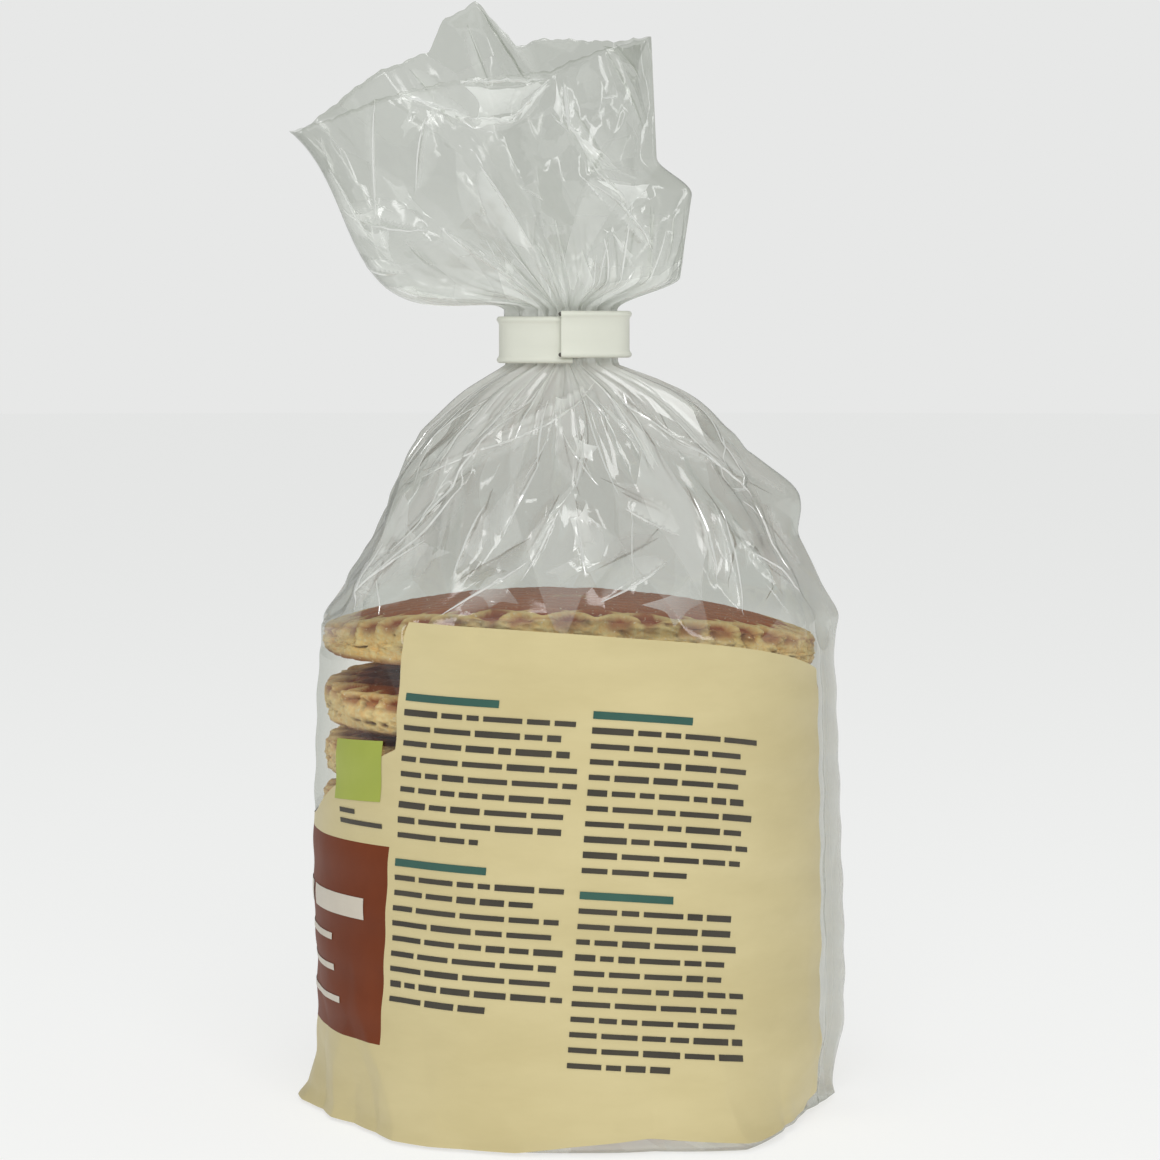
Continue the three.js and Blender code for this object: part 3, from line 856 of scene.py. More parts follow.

# %% [markdown]
# ## Flats that catch the light
#
# Between the folds a few flats stand square to the light and look almost white, with edges as straight as cut
# paper. That white is a painted highlight: each flat is a patch with four corners laid just in front of the
# film, made milky, and palest at its first side. A row gives x and z of the corners as the front view shows
# them, and how strong its painted highlight is.

# %% Flats with a painted highlight
SHOULDER_FLATS = [
    (-2.4, 121.5, 0.5, 121.5, -0.9, 118.6, -2.8, 119.1, 0.6),
    (0.5, 115.3, 4.7, 113.4, 3.8, 111, 0.5, 111.5, 0.7), (0, 102.1, 2.8, 104.7, 4.3, 97.8, 0.5, 96.8, 0.7),
    (-27.5, 100.6, -19.4, 96.4, -23.7, 93, -28.5, 92.1, 0.35),
    (-35.6, 93, -28.4, 97.3, -31.3, 88.5, -36.6, 87.5, 0.45),
    (19.4, 105.8, 21.3, 102.1, 23.7, 92.1, 22.8, 91.6, 0.55),
    (23.7, 104.4, 24.3, 102.5, 26.1, 91.6, 25.3, 91.6, 0.5),
    (10.4, 119.1, 18, 115.3, 25.6, 112.7, 18, 113.6, 0.45),
    (27, 106.3, 36.5, 106, 35.9, 105.5, 27.5, 105.6, 0.6),
    (-7.6, 94.9, -4.3, 102.1, 1.9, 108.7, -2.4, 103.5, 0.35),
    (-19.9, 121, -11.3, 124.3, -13.4, 122.1, -18, 119.1, 0.4),
    (-10.4, 121, -7.5, 121.9, -10.1, 116.4, -11.4, 113.4, 0.4),
    (31.8, 91.6, 33.2, 90.1, 37.3, 84.8, 36.2, 85.5, 0.5),
    (11.5, 124.6, 16.1, 121.6, 23.6, 114.8, 21.3, 114.8, 0.4),
    (4.3, 121.3, 6.1, 120, 13.3, 111.5, 11.5, 112.3, 0.4),
    (-4.1, 93.4, 2.5, 97.5, 4.9, 95.1, -1.6, 91.4, 0.3),
    (-24.6, 109.9, -21.3, 114.8, -19.3, 113.1, -23.8, 106.2, 0.3),
    (11.5, 88.5, 19.7, 92.6, 21.4, 88.5, 16.8, 85, 0.3),
    (26.6, 101.6, 29.9, 99.7, 31.2, 92.6, 29.2, 93.4, 0.3),
    (-16.4, 90.1, -11.5, 95.1, -8.2, 88.5, -13.1, 87.8, 0.25),
]
MOUTH_FRONT_FLATS = [
    (-17.5, 173.6, -3.2, 174.3, -8.7, 169.2, -15.9, 166.7, 0.7),
    (-28.6, 171.8, -28, 172.9, -16, 168.1, -16, 166.3, 0.9),
    (-16, 168.1, -8.9, 169, -8.7, 167.8, -16, 166.3, 0.9),
    (-8.9, 169.2, -3.2, 174.3, -3, 173.8, -8.7, 167.7, 0.8),
    (-0.2, 166.3, 6.5, 161.7, 13.1, 157.5, 3.1, 159.3, 0.6),
    (4.6, 157.8, 13.4, 157.3, 9.7, 152.9, 8.7, 153.5, 0.85),
    (-32, 159, -27.9, 157.1, -23.3, 151.4, -28.7, 152.9, 0.3),
    (-38, 152.5, -31.3, 153.7, -30.6, 149.8, -36.9, 151.2, 0.45),
    (-36.6, 150.8, -30.6, 149.8, -29.8, 143.8, -30.4, 144.1, 0.4),
    (-22.9, 171.9, -22, 169.8, -20.6, 165.8, -24, 164.3, 0.4),
    (-2.3, 174.3, -1.5, 171.2, -1.1, 166.2, -2.7, 169.7, 0.85),
    (-11.1, 145.7, -9.6, 144.8, -5.7, 136.4, -8.8, 139.2, 0.55),
    (1.9, 146.4, 3.5, 139.2, 1.6, 137.3, 1, 142.2, 0.55),
    (6.9, 149.5, 10.8, 145.3, 11.1, 143, 8.5, 146, 0.5),
    (-43.5, 165.4, -42.4, 165.4, -39.3, 157.8, -40.1, 158.2, 0.4),
    (-26.5, 169.8, -25.3, 167, -27.8, 164.8, -28.3, 166.5, 0.3),
    (-29.9, 140.3, -26.6, 140.1, -19.8, 138.1, -23.5, 137.9, 0.4),
]
MOUTH_BACK_FLATS = [
    (5.3, 182, 13.2, 182, 11.6, 176.5, 8.7, 179.2, 0.75),
    (-16.6, 189.2, -15.3, 189.1, -6.5, 176.6, -8.5, 177.1, 0.4),
    (8.7, 179.2, 11.6, 176.6, 13.9, 166.1, 13.2, 167.1, 0.35),
]
FLAT_STEPS = 9
FLAT_OUT = 0.07
FLAT_HOLLOW = 0.3
FLAT_CREASING = 0.15


def on_mouth(a, t):
    away = np.where(np.cos(a) > 0, -FLAT_OUT, FLAT_OUT)
    return mouth_points(a, t) + np.stack([0 * away, away, 0 * away], axis=-1)


def flat_mesh(name, flats):
    """Patches with four corners on the film's own surface, one mesh for all."""
    points, faces, pale = [], [], []
    s, t = (v.ravel() for v in np.meshgrid(np.linspace(0, 1, FLAT_STEPS), np.linspace(0, 1, FLAT_STEPS)))
    shares = ((1 - s) * (1 - t), s * (1 - t), s * t, (1 - s) * t)
    hollow = np.sin(math.pi * s) * (2 * t - 1) ** 2 + np.sin(math.pi * t) * (2 * s - 1) ** 2
    hollow = FLAT_HOLLOW * hollow
    shares = [share + (0.25 - share) * hollow for share in shares]
    for corners, place, highlight_strength in flats:
        first = len(points)
        a, rise = (sum(share * corner[k] for share, corner in zip(shares, corners)) for k in (0, 1))
        points.extend((place(a, rise) * MM).tolist())
        pale.extend((highlight_strength * (1 - 0.5 * t) * (1 - 0.4 * np.abs(s - 0.25))).tolist())
        faces.extend((a, d, c, b) for a, b, c, d in grid_faces(first, FLAT_STEPS - 1, FLAT_STEPS - 1))
    piece = mesh_piece(name, points, faces)
    pale = np.array(pale)
    note_wear_and_sheen(piece, points_of(piece) / UNROLL_RADIUS, FLAT_CREASING + 0 * pale, pale, 0 * pale)
    return piece


def corner_pairs(row):
    return list(zip(row[0:8:2], row[1:8:2]))


def on_shoulder(a, z):
    return wall_points(a, z, FLAT_OUT)


# Each flat's pale value is the strength of its painted highlight.
flats = []
for rows, front, share in ((SHOULDER_FLATS, True, 1.0), (SHOULDER_FLATS[5::3], False, 0.5)):
    for row in rows:
        spots = [(bag_angle(x if front else -x, z, front), z) for x, z in corner_pairs(row)]
        flats.append((spots, on_shoulder, share * row[8]))
finish_piece(flat_mesh("film_shoulder_highlight_flats", flats), flat_highlight_film)
flats = []
for rows, front in ((MOUTH_FRONT_FLATS, True), (MOUTH_BACK_FLATS, False)):
    for row in rows:
        flats.append(([mouth_spot(x, z, front) for x, z in corner_pairs(row)], on_mouth, row[8]))
finish_piece(flat_mesh("film_mouth_highlight_flats", flats), flat_highlight_film)

# %% [markdown]
# ## Waffles
#
# Each stroopwafel is two thin waffle halves with syrup between them. Its face has a grid of shallow pits that
# the iron pressed, and shines where the syrup soaked through. The cut edge is crumbly and pale, with a dark
# line where the halves meet, painted shade in its holes, and a darker lower rim. A profile is spun round as a
# grid, and each point then gets the iron's pits and the crumbs of the edge. The top waffle has bent over the
# stack: its left and right sink, and its front stands a little proud.

# %% Crumbs
PRIMES = (73856093, 19349663, 83492791)


def grain(x, y, z, size, seed, octaves=4, fade=0.6):
    """Soft random values between -1 and 1 in lumps of the given size, each octave twice as fine."""
    table = np.random.default_rng(seed).uniform(-1, 1, 4096)
    total, weight, norm = 0, 1.0, 0.0
    for _ in range(octaves):
        corners, shares = [], []
        for value in (x, y, z):
            scaled = value / size
            whole = np.floor(scaled).astype(np.int64)
            part = scaled - whole
            corners.append(whole)
            shares.append(part * part * (3 - 2 * part))
        level = 0
        for i, j, k in itertools.product((0, 1), repeat=3):
            spot = (corners[0] + i) * PRIMES[0] ^ (corners[1] + j) * PRIMES[1] ^ (corners[2] + k) * PRIMES[2]
            share = [part if far else 1 - part for part, far in zip(shares, (i, j, k))]
            level = level + table[spot & 4095] * share[0] * share[1] * share[2]
        total, norm = total + weight * level, norm + weight
        weight, size = weight * fade, size / 2
    return total / norm


# %% [markdown]
# A waffle could be spun from a profile and then sculpted. Here the grid primitive is that spin, and one
# function presses the iron's grid into the face, cuts its pits into the upper corner of the edge, and breaks
# the edge up with coarse crags, fine crumbs, holes and a groove where the two halves meet.

# %% Waffle shape
PIT_PITCH = 5.9
PIT_DEPTH = 1.0
HALF_CENTRE, HALF_RIM = 3.95, 3.2
CRAG, CRUMB = 1.7, 0.75
SYRUP_GROOVE = 0.9

# Along the profile: from the middle of the top over the edge to the middle below
PROFILE = [0, 0.03, 0.30, 0.46, 0.50, 0.55, 0.70, 0.86, 0.92, 1]
PROFILE_RADIUS = [0, 4.0, 33.0, 40.0, 41.2, 41.7, 41.8, 41.4, 40.2, 0]
PROFILE_HEIGHT = [HALF_CENTRE, HALF_CENTRE, HALF_CENTRE - 0.1, HALF_RIM + 0.15, HALF_RIM - 0.1,
                  HALF_RIM - 0.7, -0.1, -HALF_RIM + 0.6, -HALF_RIM - 0.1, -HALF_CENTRE]


def make_waffle(name, number, centre, thickness, warp, columns, rows):
    """One waffle. Its warp says how far it sinks at both sides, leans right, leans back and droops right."""
    rng = np.random.default_rng(100 + number)
    turn = rng.uniform(-0.5, 0.5) if number < WAFFLES - 1 else 0.06
    shift = rng.uniform(-0.35, 0.35, 2)
    baked = {}

    def place(u, v):
        a = TAU * u
        radius = np.interp(v, PROFILE, PROFILE_RADIUS)
        height = thickness * np.interp(v, PROFILE, PROFILE_HEIGHT)
        radius = radius * (1 + 0.005 * np.sin(2 * a + number) + 0.004 * np.sin(5 * a + 2 * number))
        x, y = radius * np.cos(a), radius * np.sin(a)
        lean = math.pi / 4 - turn
        first, second = x * math.cos(lean) + y * math.sin(lean), y * math.cos(lean) - x * math.sin(lean)
        ridge = smoothstep(np.maximum(zigzag(first / PIT_PITCH), zigzag(second / PIT_PITCH)), 0.0, 0.8)
        face = (1 - smoothstep(v, 0.5, 0.57)) * smoothstep(radius, 1, 4)
        edge = smoothstep(v, 0.46, 0.54) * (1 - smoothstep(v, 0.9, 0.95))
        crag = grain(x, y, height * 1.5, 4.2, 10 * number + 1)
        crumb = grain(x, y, height * 1.2, 1.5, 10 * number + 2, 3)
        hole = smoothstep(grain(x, y, height, 1.7, 10 * number + 3, 2), 0.36, 0.6)
        split = np.exp(-(((height + 0.9 + 0.9 * crag) / 0.35) ** 2)) * smoothstep(crag - crumb, -0.1, 0.4)
        push = edge * (CRAG * crag + CRUMB * crumb - 0.7 * hole - SYRUP_GROOVE * split)
        push = np.minimum(push + 1.3 * (ridge - 0.6) * np.exp(-(((v - 0.51) / 0.06) ** 2)), 0.6)
        below_corner = HALF_RIM - height / thickness
        near_corner = (1 - smoothstep(below_corner + 0.8 * crag, 0.9, 2.4)) * (1 - smoothstep(v, 0.6, 0.7))
        pit_over_edge = (1 - ridge) * near_corner
        height = height - face * PIT_DEPTH * (1 - ridge) + face * 0.14 * crumb + edge * 0.3 * crumb
        reach = np.maximum(radius, 1)
        golden = smoothstep(radius + 4.0 * ridge + 1.2 * crag, 40.0, 41.6)
        # Dark: the syrup line where the halves meet, and painted shade in the holes of the edge.
        gold, dark = np.maximum(golden * face, 1 - face), edge * np.maximum(0.9 * split, 0.45 * hole)
        gold = gold * (1 - 0.8 * pit_over_edge)
        # Darker brown towards the lower rim.
        lower_rim_darker = smoothstep(v + 0.05 * crag, 0.82, 0.93)
        baked["colours"] = np.stack([face * ridge, gold, dark, lower_rim_darker], axis=-1)
        x, y = x * (1 + push / reach), y * (1 + push / reach)
        across, back = x * math.cos(turn) - y * math.sin(turn), x * math.sin(turn) + y * math.cos(turn)
        sink, lean_right, lean_back, droop_right = warp
        upper = 1 - smoothstep(v, 0.56, 0.88)
        height = height - upper * (sink * (across / 42) ** 2 + lean_right * across / 42)
        height = height - lean_back * (0.3 + 0.7 * upper) * back / 42
        height = height - (1 - upper) * droop_right * np.maximum(across / 42, 0) ** 2
        return np.stack([across + shift[0], back + shift[1], height + centre], axis=-1)

    return sheet(name, columns, rows, place, lambda: baked["colours"])


# %% [markdown]
# The finish changes across a waffle: glossy red-brown syrup in the pits, matt golden crust on the edge, a
# darker brown at the lower rim, a dark syrup line, and painted shade in the holes of the edge. How much of
# each lies at a point was kept as a colour attribute, so the colours stay on the forms that they belong to,
# and noise in object space breaks them up.

# %% Waffle material
def waffle_material():
    material, tree = new_material("baked_waffle")
    place = tree.nodes.new("ShaderNodeTexCoord")
    bake = tree.nodes.new("ShaderNodeVertexColor")
    bake.layer_name = "bake"
    parts = add_node(tree, "ShaderNodeSeparateColor", Color=bake.outputs["Color"])
    ridge, crusty, dark = (parts.outputs[key] for key in ("Red", "Green", "Blue"))
    broad, crumbs, fine = (cloudy(tree, place.outputs["Object"], scale, detail, 0.65)
                           for scale, detail in ((110.0, 3.0), (1000.0, 5.0), (1500.0, 2.0)))
    syrup = blend(tree, spread(tree, broad, 0.35, 0.65), (0.33, 0.075, 0.02, 1), (0.47, 0.125, 0.04, 1))
    face = blend(tree, ridge, syrup, (0.54, 0.185, 0.055, 1))
    golden = blend(tree, spread(tree, broad, 0.38, 0.62), (0.96, 0.62, 0.235, 1), (1.0, 0.74, 0.31, 1))
    crust = blend(tree, spread(tree, crumbs, 0.38, 0.66), golden, (1.0, 0.83, 0.43, 1))
    # Near-black brown: the syrup line between the halves, and painted shade in the holes of the edge.
    colour = blend(tree, dark, blend(tree, crusty, face, crust), (0.14, 0.065, 0.03, 1))
    # Darker brown towards the lower rim, from the bake's alpha.
    colour = blend(tree, bake.outputs["Alpha"], colour, (0.38, 0.15, 0.05, 1))
    colour = blend(tree, spread(tree, fine, 0.67, 0.71), colour, (0.98, 0.85, 0.6, 1))
    roughness = spread(tree, crusty, 0.0, 1.0, 0.42, 0.85)
    grained_skin(tree, colour, roughness, specular=0.2, grain=crumbs, strength=0.8, depth=0.0005)
    return material


baked_waffle = waffle_material()

# %% [markdown]
# Ten waffles lie one on another, each turned a little. Their heights are given and not simulated, because
# the gaps between them show at the left side of the photograph.

# %% The stack
CENTRES = [4.3, 12.4, 20.4, 28.4, 36.3, 44.2, 52.0, 60.4, 69.5, 81.75]
THICKNESS = [1, 1, 1, 1, 1, 1, 0.97, 1, 1.06, 1.34]
WARPS = [(0.2, 0.1, 0.1, 0), (0.3, 0.2, -0.2, 0), (0.2, -0.2, 0.2, 0), (0.3, 0.1, 0.1, 0),
         (0.3, -0.1, -0.2, 0), (0.4, 0.2, 0.1, 0), (0.4, 0.1, 0.3, 0), (0.5, 0.3, -0.4, 0),
         (0.3, 0.2, -1.6, 0), (4.5, 0.95, 0.9, 2.4)]
for number in range(WAFFLES):
    columns, rows = ((520, 170) if number == WAFFLES - 1 else (420, 120)) if number > 4 else (260, 80)
    waffle = make_waffle(f"waffle_{number + 1}", number, CENTRES[number], THICKNESS[number], WARPS[number],
                         columns, rows)
    finish_piece(waffle, baked_waffle)

# %% [markdown]
# ## Print
#
# The ink lies on the film, so each field of colour is a patch of the film's own surface, a sixth of a
# millimetre in front of it. The print isn't level: it was drawn askew when the bag was filled, and sinks
# towards the right. One function turns a place on the flat artwork into an angle and a height on the bag.

# %% From flat artwork to the bag
ROLL_RADIUS = 44.0
SEAM_TOP = (-28.7, 85.2)
SEAM_LEAN = 0.074
INK_OUT = 0.16


def droop(s):
    """How far the print sinks at arc length s, right of the seam's top."""
    d = np.maximum(s - SEAM_TOP[0], 0)
    return 0.03 * d + 1.22e-5 * d**3


def panel_place(p, q):
    """Arc length and height of a point p right of the seam and q below the panel's top edge."""
    s = SEAM_TOP[0] - SEAM_LEAN * q + p
    return s, SEAM_TOP[1] - q - droop(s)


def on_bag(s, z, out=INK_OUT):
    return wall_points(s / ROLL_RADIUS, np.maximum(z, 0.3), out)


# %% [markdown]
# Ink on film is thin and satin, almost even in colour, with faint clouds. On the cream ink they are stretched
# sideways into painted shade bands, as where the film lies on the rims of the waffles and where it stands free
# of them.

# %% Ink material
def ink_material(name, dark, light, roughness, band=1.0):
    """Ink on film with faint clouds. A band below 1 stretches them sideways into painted shade bands, as where
    film lies on the rims of a stack.
    """
    material, tree = new_material(name)
    place = tree.nodes.new("ShaderNodeTexCoord")
    stretch = add_node(tree, "ShaderNodeMapping", Vector=place.outputs["Object"], Scale=(band, band, 1.0))
    cloud = cloudy(tree, stretch.outputs["Vector"], 70.0, 5.0, 0.6)
    colour = blend(tree, spread(tree, cloud, 0.3, 0.7), dark, light)
    grained_skin(tree, colour, roughness, specular=0.22, grain=cloud, strength=0.14, depth=0.0004)
    return material


# The cream ink's stretched clouds are painted shade bands over its own colour.
cream_ink_shade_bands = ink_material("cream_ink_shade_bands", (0.60, 0.51, 0.265, 1), (0.70, 0.605, 0.335, 1), 0.42, 0.35)
brown_ink = ink_material("brown_ink", (0.15, 0.028, 0.004, 1), (0.195, 0.038, 0.006, 1), 0.55)
green_ink = ink_material("green_ink", (0.36, 0.42, 0.07, 1), (0.42, 0.48, 0.09, 1), 0.4)
grey_ink = ink_material("dark_grey_ink", (0.05, 0.045, 0.035, 1), (0.075, 0.066, 0.05, 1), 0.45)
teal_ink = ink_material("dark_teal_ink", (0.035, 0.1, 0.08, 1), (0.05, 0.13, 0.1, 1), 0.45)
pale_ink = ink_material("pale_ink", (0.66, 0.60, 0.50, 1), (0.74, 0.68, 0.58, 1), 0.45)

# %% [markdown]
# The panel's left edge runs straight down the seam and its foot follows the folded bottom. It could be a
# mask in the film's material, but a patch of its own keeps a crisp edge from close by.

# %% The large cream panel
PANEL_RIGHT = 54.5
PANEL_HEIGHT = 85.0
PANEL_FOOT_S = [-36, -8, 0, 12, 28, 36, 48, 56]
PANEL_FOOT_Z = [0.3, 0.3, 1.2, 2.2, 1.0, 1.3, 1.6, 4.0]


def cream_panel(u, v):
    s, z = panel_place(0 * u, PANEL_HEIGHT * v)
    s = s + (PANEL_RIGHT - s) * u
    top = SEAM_TOP[1] - droop(s)
    low = np.interp(s, PANEL_FOOT_S, PANEL_FOOT_Z)
    return on_bag(s, top + (low - top) * v)


finish_piece(sheet("print_panel", 170, 160, cream_panel), cream_ink_shade_bands)

# %% [markdown]
# The other side of the bag carries the front print: a clear window with a curved sill, a cream field under
# it, a brown band and cream again down to the bottom. It starts at the same seam and runs round the back.

# %% The front print
FRONT_END = -186.0
SILL_S = [FRONT_END, -170, -150, -128, -104, -82, -60, -46, -30]
SILL_Z = [64, 57, 50.8, 50, 50, 50, 50.8, 57.2, 64.7]
BAND_TOP, BAND_FOOT = 48.2, 15.0


def seam_s(z):
    return SEAM_TOP[0] - SEAM_LEAN * (SEAM_TOP[1] - z)


def front_patch(low, high):
    def place(u, v):
        z_low, z_high = low(0 * u), high(0 * u)
        s = FRONT_END + (seam_s((z_low + z_high) / 2) - FRONT_END) * u
        z_low, z_high = low(s), high(s)
        z = z_low + (z_high - z_low) * v
        s = FRONT_END + (seam_s(z) - FRONT_END) * u
        return on_bag(s, z)

    return place


sill = front_patch(lambda s: 0 * s + BAND_TOP, lambda s: through(SILL_S, SILL_Z, s))
band = front_patch(lambda s: 0 * s + BAND_FOOT, lambda s: 0 * s + BAND_TOP)
foot = front_patch(lambda s: 0 * s + 0.3, lambda s: 0 * s + BAND_FOOT)
finish_piece(sheet("print_sill", 240, 26, sill), cream_ink_shade_bands)
finish_piece(sheet("print_band", 240, 56, band), brown_ink)
finish_piece(sheet("print_foot", 240, 30, foot), cream_ink_shade_bands)

# %% [markdown]
# ## Rows of bars
#
# Where a real panel is filled with small type, this one has plain bars: four blocks of lines, each line a
# row of bars of uneven length, under one short coloured bar. Each bar is a small patch, bent in short steps
# so that it follows the film.

# %% Bars on the panel
LINE_PITCH = 2.53
BAR_HEIGHT = 0.85
HEADING_HEIGHT = 1.25
BAR_STEP = 1.2
BAR_OUT = INK_OUT + 0.1
BLOCKS = [
    (1.6, 11.4, 30.6, 9),
    (1.6, 38.7, 30.6, 9),
    (33.4, 12.2, 29.4, 10),
    (33.4, 41.6, 29.4, 11),
]


def bar_mesh(name, bars, place):
    """One mesh of bars, each given as left, top, width and height on the artwork."""
    points, faces = [], []
    for left, top, width, height in bars:
        steps, rises = max(1, math.ceil(width / BAR_STEP)), max(1, math.ceil(height / BAR_STEP))
        first = len(points)
        p = left + width * np.arange(steps + 1) / steps
        for q in top + height * np.arange(rises + 1) / rises:
            points.extend((place(p, np.full(len(p), q)) * MM).tolist())
        faces.extend(grid_faces(first, rises, steps))
    return mesh_piece(name, points, faces)


def panel_bars(p, q):
    return on_bag(*panel_place(p, q), out=BAR_OUT)


words, headings = [], []
rng = np.random.default_rng(7)
for left, top, width, lines in BLOCKS:
    headings.append((left, top, width * rng.uniform(0.48, 0.58), HEADING_HEIGHT))
    for line in range(1, lines + 1):
        x, end = 0.0, width * (rng.uniform(0.45, 0.7) if line == lines else rng.uniform(0.86, 1.0))
        while x < end - 1.5:
            length = min(rng.uniform(2.0, 7.5), end - x)
            bold = 0.2 if rng.random() < 0.25 else 0.0
            words.append((left + x, top + 0.2 + line * LINE_PITCH - bold / 2, length, BAR_HEIGHT + bold))
            x += length + 0.75
finish_piece(bar_mesh("print_bars", words, panel_bars), grey_ink)
finish_piece(bar_mesh("print_heading_bars", headings, panel_bars), teal_ink)

# %% [markdown]
# A small green field stands in the window of the front print. Bars take the place of the small lines under
# it and of the large words on the brown band.

# %% The green field, and bars on the front print
GREEN_FIELD = (-45.9, -33.0, 54.8, 64.9)


def green_field(u, v):
    left, right, low, high = GREEN_FIELD
    z = low + (high - low) * v + 0.6 * u
    return on_bag(left + (right - left) * u - 0.5 * (1 - v), z, INK_OUT + 0.08)


finish_piece(sheet("print_green_field", 24, 20, green_field), green_ink)


def front_bars(p, q):
    return on_bag(p, 100 - q, out=BAR_OUT)


small_bars = [(-44.6, 46.4, 4.6, 0.8), (-44.6, 48.2, 11.5, 0.8)]
finish_piece(bar_mesh("print_small_bars", small_bars, front_bars), grey_ink)
band_bars = [(-58, 61.0, 20.5, 3.6), (-84, 61.0, 23.5, 3.6), (-138, 59.0, 48.0, 6.0)]
band_bars += [(-70, 68.2, 22.0, 1.1), (-70, 73.4, 22.4, 1.1), (-70, 78.6, 24.5, 1.1)]
band_bars += [(-128, 70.0, 30.0, 1.4), (-126, 75.0, 26.0, 1.4)]
finish_piece(bar_mesh("print_band_bars", band_bars, front_bars), pale_ink)

# %% [markdown]
# ## The tie strip
#
# The strip is a flat plastic ribbon with a wire in a bead along each edge. It is bent round the neck once and
# its end lies over its start, a little higher. Its section is swept along the neck's oval.

# %% Strip
BEAD_OUT, BEAD_WIDE = 0.4, 1.1
STRIP_START, STRIP_TURN = 17, 383
STRIP_LAP = STRIP_THICK + BEAD_OUT + 0.15
LAP_SHARE, LIFT_SHARE = (0.78, 0.93), (0.3, 0.78)


def strip_section():
    top, out = STRIP_HEIGHT / 2, STRIP_THICK + BEAD_OUT
    bead = [(out / 2 + out / 2 * math.cos(t), top - BEAD_WIDE / 2 + BEAD_WIDE / 2 * math.sin(t))
            for t in np.linspace(-0.9, 2.6, 9)]
    half = [(STRIP_THICK, 0.0), (STRIP_THICK, 1.2), (STRIP_THICK, top - BEAD_WIDE - 0.25)] + bead
    half.append((0.0, top - 0.4))
    mirrored = [(n, -z) for n, z in reversed(half[1:])]
    return np.array(half + mirrored)


SECTION = strip_section()


def neck_oval(a):
    r = oval(a, NECK_HALF_WIDTH, NECK_HALF_WIDTH, NECK_HALF_DEPTH, NECK_HALF_DEPTH)
    return np.stack([NECK_X + r * np.sin(a), -r * np.cos(a)], axis=-1)


def strip_place(u, v):
    ends = 0.006
    done = np.clip((v - ends) / (1 - 2 * ends), 0, 1)
    a = np.radians(STRIP_START - STRIP_TURN * done)
    along = neck_oval(a + 0.02) - neck_oval(a - 0.02)
    along /= np.linalg.norm(along, axis=-1, keepdims=True)
    outward = np.stack([along[:, 1], -along[:, 0]], axis=-1)
    lap = STRIP_LAP * smoothstep(done, *LAP_SHARE)
    lift = STRIP_LIFT * (smoothstep(done, *LIFT_SHARE) - 0.5)
    count = len(SECTION)
    k = np.round(u * count).astype(int) % count
    closing = (v < ends / 2) | (v > 1 - ends / 2)
    n = np.where(closing, STRIP_THICK / 2, SECTION[k, 0])
    h = np.where(closing, 0, SECTION[k, 1])
    flat = neck_oval(a) + outward * (STRIP_GAP + lap + n)[:, None]
    return np.stack([flat[:, 0], flat[:, 1], NECK_MIDDLE + lift + h], axis=-1)


STRIP_ROWS = 240
strip_band = sheet("tie_strip_band", len(SECTION), STRIP_ROWS, strip_place)


def strip_material():
    material, tree = new_material("strip_plastic")
    place = tree.nodes.new("ShaderNodeTexCoord")
    cloud = cloudy(tree, place.outputs["Object"], 120.0, 4.0, 0.6)
    colour = blend(tree, cloud, (0.72, 0.735, 0.635, 1), (0.78, 0.79, 0.695, 1))
    grained_skin(tree, colour, 0.45, specular=0.45, grain=cloud, strength=0.15, depth=0.0002)
    return material


finish_piece(strip_band, strip_material(), "tie_strip")

# %% [markdown]
# The wires were cut with the strip, so an end of wire shows in each bead where the outer end lies. It is a
# near-black ball: the wire's end, with painted shade of the bead's open hollow round it.

# %% Wire ends
WIRE_RADIUS = 0.36
end_a = math.radians(STRIP_START - STRIP_TURN)
end_spot = neck_oval(np.array([end_a]))[0]
ahead = neck_oval(np.array([end_a - 0.02]))[0] - end_spot
ahead /= np.linalg.norm(ahead)
outward = np.array([-ahead[1], ahead[0]]) * (-1 if ahead[0] < 0 else 1)
outward = -outward if outward[1] > 0 else outward
bead_spot = end_spot + outward * (STRIP_GAP + STRIP_LAP + STRIP_THICK + BEAD_OUT - 0.45) + ahead * 0.1
# Near-black: the wire's end and painted shade in the bead's open end.
wire_end_shade_material, tree = new_material("wire_end_hole_shade")
show(tree, add_node(tree, "ShaderNodeBsdfPrincipled", Base_Color=(0.06, 0.055, 0.045, 1), Roughness=0.5))
for name, height in (("wire_end_upper", 1), ("wire_end_lower", -1)):
    rise = NECK_MIDDLE + STRIP_LIFT / 2 + height * (STRIP_HEIGHT / 2 - BEAD_WIDE / 2)
    centre = Vector((bead_spot[0], bead_spot[1], rise)) * MM
    bpy.ops.object.select_all(action="DESELECT")
    bpy.ops.mesh.primitive_uv_sphere_add(segments=20, ring_count=12, radius=WIRE_RADIUS * MM, location=centre)
    wire = bpy.context.object
    wire.name = wire.data.name = name
    bpy.ops.object.transform_apply(location=True, rotation=True, scale=True)
    bpy.ops.object.shade_smooth()
    finish_piece(wire, wire_end_shade_material, "tie_strip")

# %% [markdown]
# ## Floor and light
#
# A plain pale floor, a narrow tall lamp on each side, one above and one large soft lamp in front. The film
# only shows its folds by what it mirrors, so the side lamps light nothing else, the front lamp isn't
# mirrored, and the room that the film mirrors is darker than the one behind it.

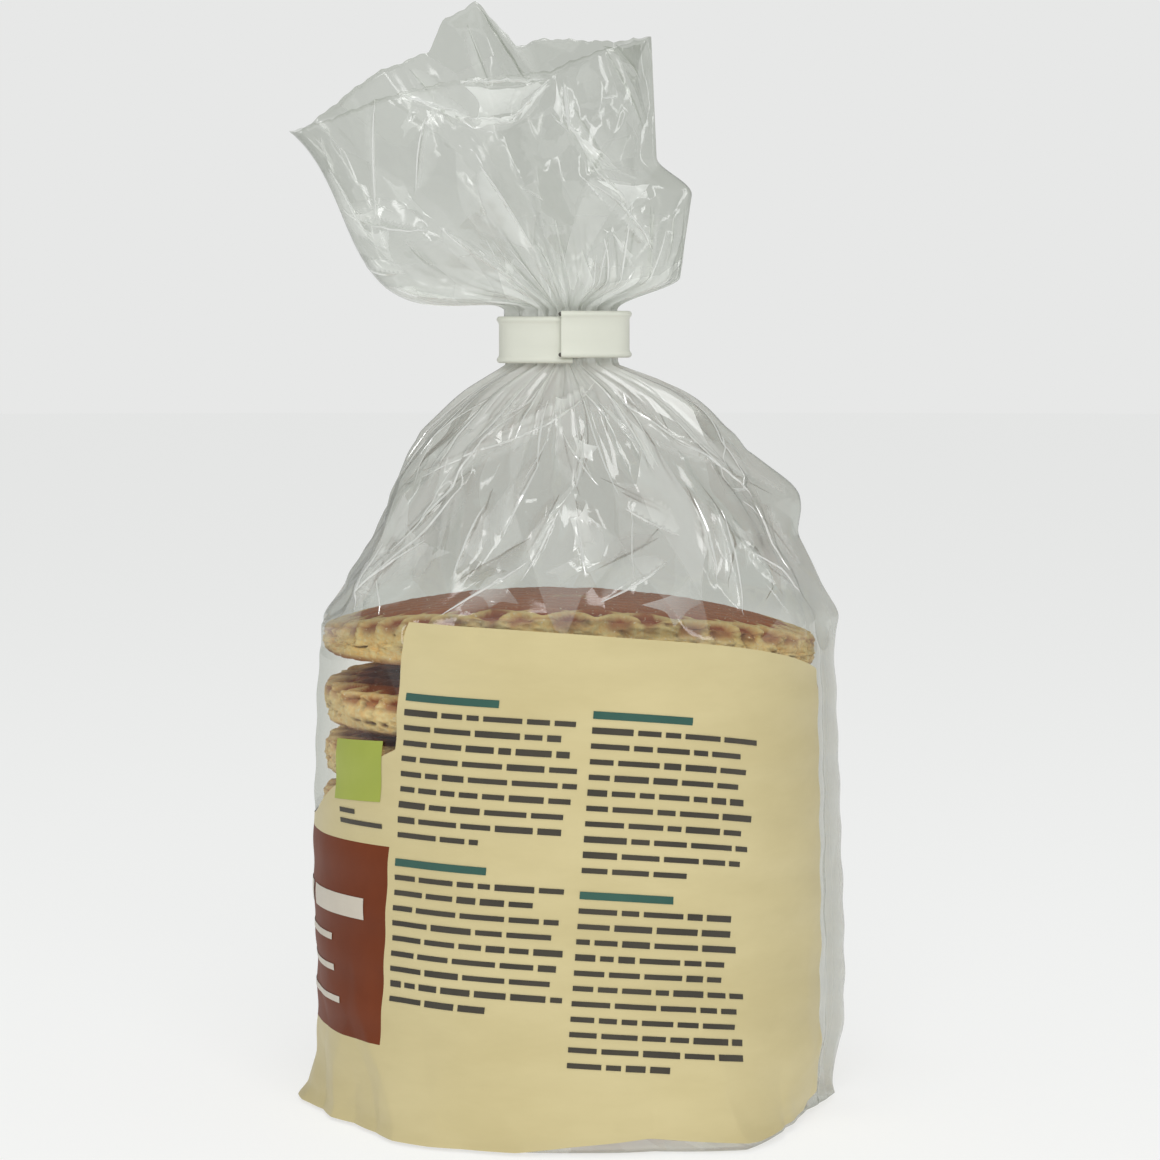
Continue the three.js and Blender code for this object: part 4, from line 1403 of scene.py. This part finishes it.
# %% Stage
FLOOR_RADIUS = 5.0
bpy.ops.object.select_all(action="DESELECT")
bpy.ops.mesh.primitive_circle_add(vertices=128, radius=FLOOR_RADIUS, fill_type="NGON",
                                  location=(0, 0, -0.3 * MM))
floor = bpy.context.object
floor.name = "floor"
floor_material, tree = new_material("floor_pale")
show(tree, add_node(tree, "ShaderNodeBsdfPrincipled", Base_Color=(0.36, 0.363, 0.36, 1), Roughness=0.9,
                    Specular_IOR_Level=0.0, Emission_Color=(0.66, 0.665, 0.66, 1), Emission_Strength=1.0))
floor.data.materials.append(floor_material)

world = bpy.data.worlds.new("pale_room")
bpy.context.scene.world = world
world.use_nodes = True
room = world.node_tree
room.nodes.clear()
path = room.nodes.new("ShaderNodeLightPath")
ROOM_COLOURS = [(0.8, 0.805, 0.8, 1), (0.33, 0.333, 0.33, 1), (0.43, 0.435, 0.43, 1)]
backdrop, soft_light, mirrored = (add_node(room, "ShaderNodeBackground", Color=colour, Strength=1.0)
                                  for colour in ROOM_COLOURS)
seen = mix_shaders(room, path.outputs["Is Glossy Ray"], soft_light, mirrored)
seen = mix_shaders(room, path.outputs["Is Camera Ray"], seen, backdrop)
show(room, seen, "ShaderNodeOutputWorld")



def lamp(name, place, aim, size, power):
    bpy.ops.object.light_add(type="AREA", location=place)
    made = bpy.context.object
    made.name = name
    made.rotation_euler = (Vector(aim) - Vector(place)).to_track_quat("-Z", "Y").to_euler()
    made.data.shape = "RECTANGLE"
    made.data.size, made.data.size_y = size
    made.data.energy = power
    return made


side_lamps = [lamp("lamp_left", (-0.75, -0.35, 0.4), (0, 0, 0.1), (0.12, 0.8), 1.1),
              lamp("lamp_right", (0.8, -0.3, 0.45), (0, 0, 0.1), (0.12, 0.8), 1.1)]
for made in side_lamps:
    made.visible_diffuse = False
lamp("lamp_above", (-0.05, -0.3, 0.95), (0, 0, 0.1), (0.4, 0.3), 1.4)
soft_front = lamp("lamp_soft", (0.1, -1.3, 0.8), (0, 0, 0.08), (1.0, 0.8), 9.5)
soft_front.visible_glossy = False
print("lamps ready")

# %% Finish
bpy.context.view_layer.update()
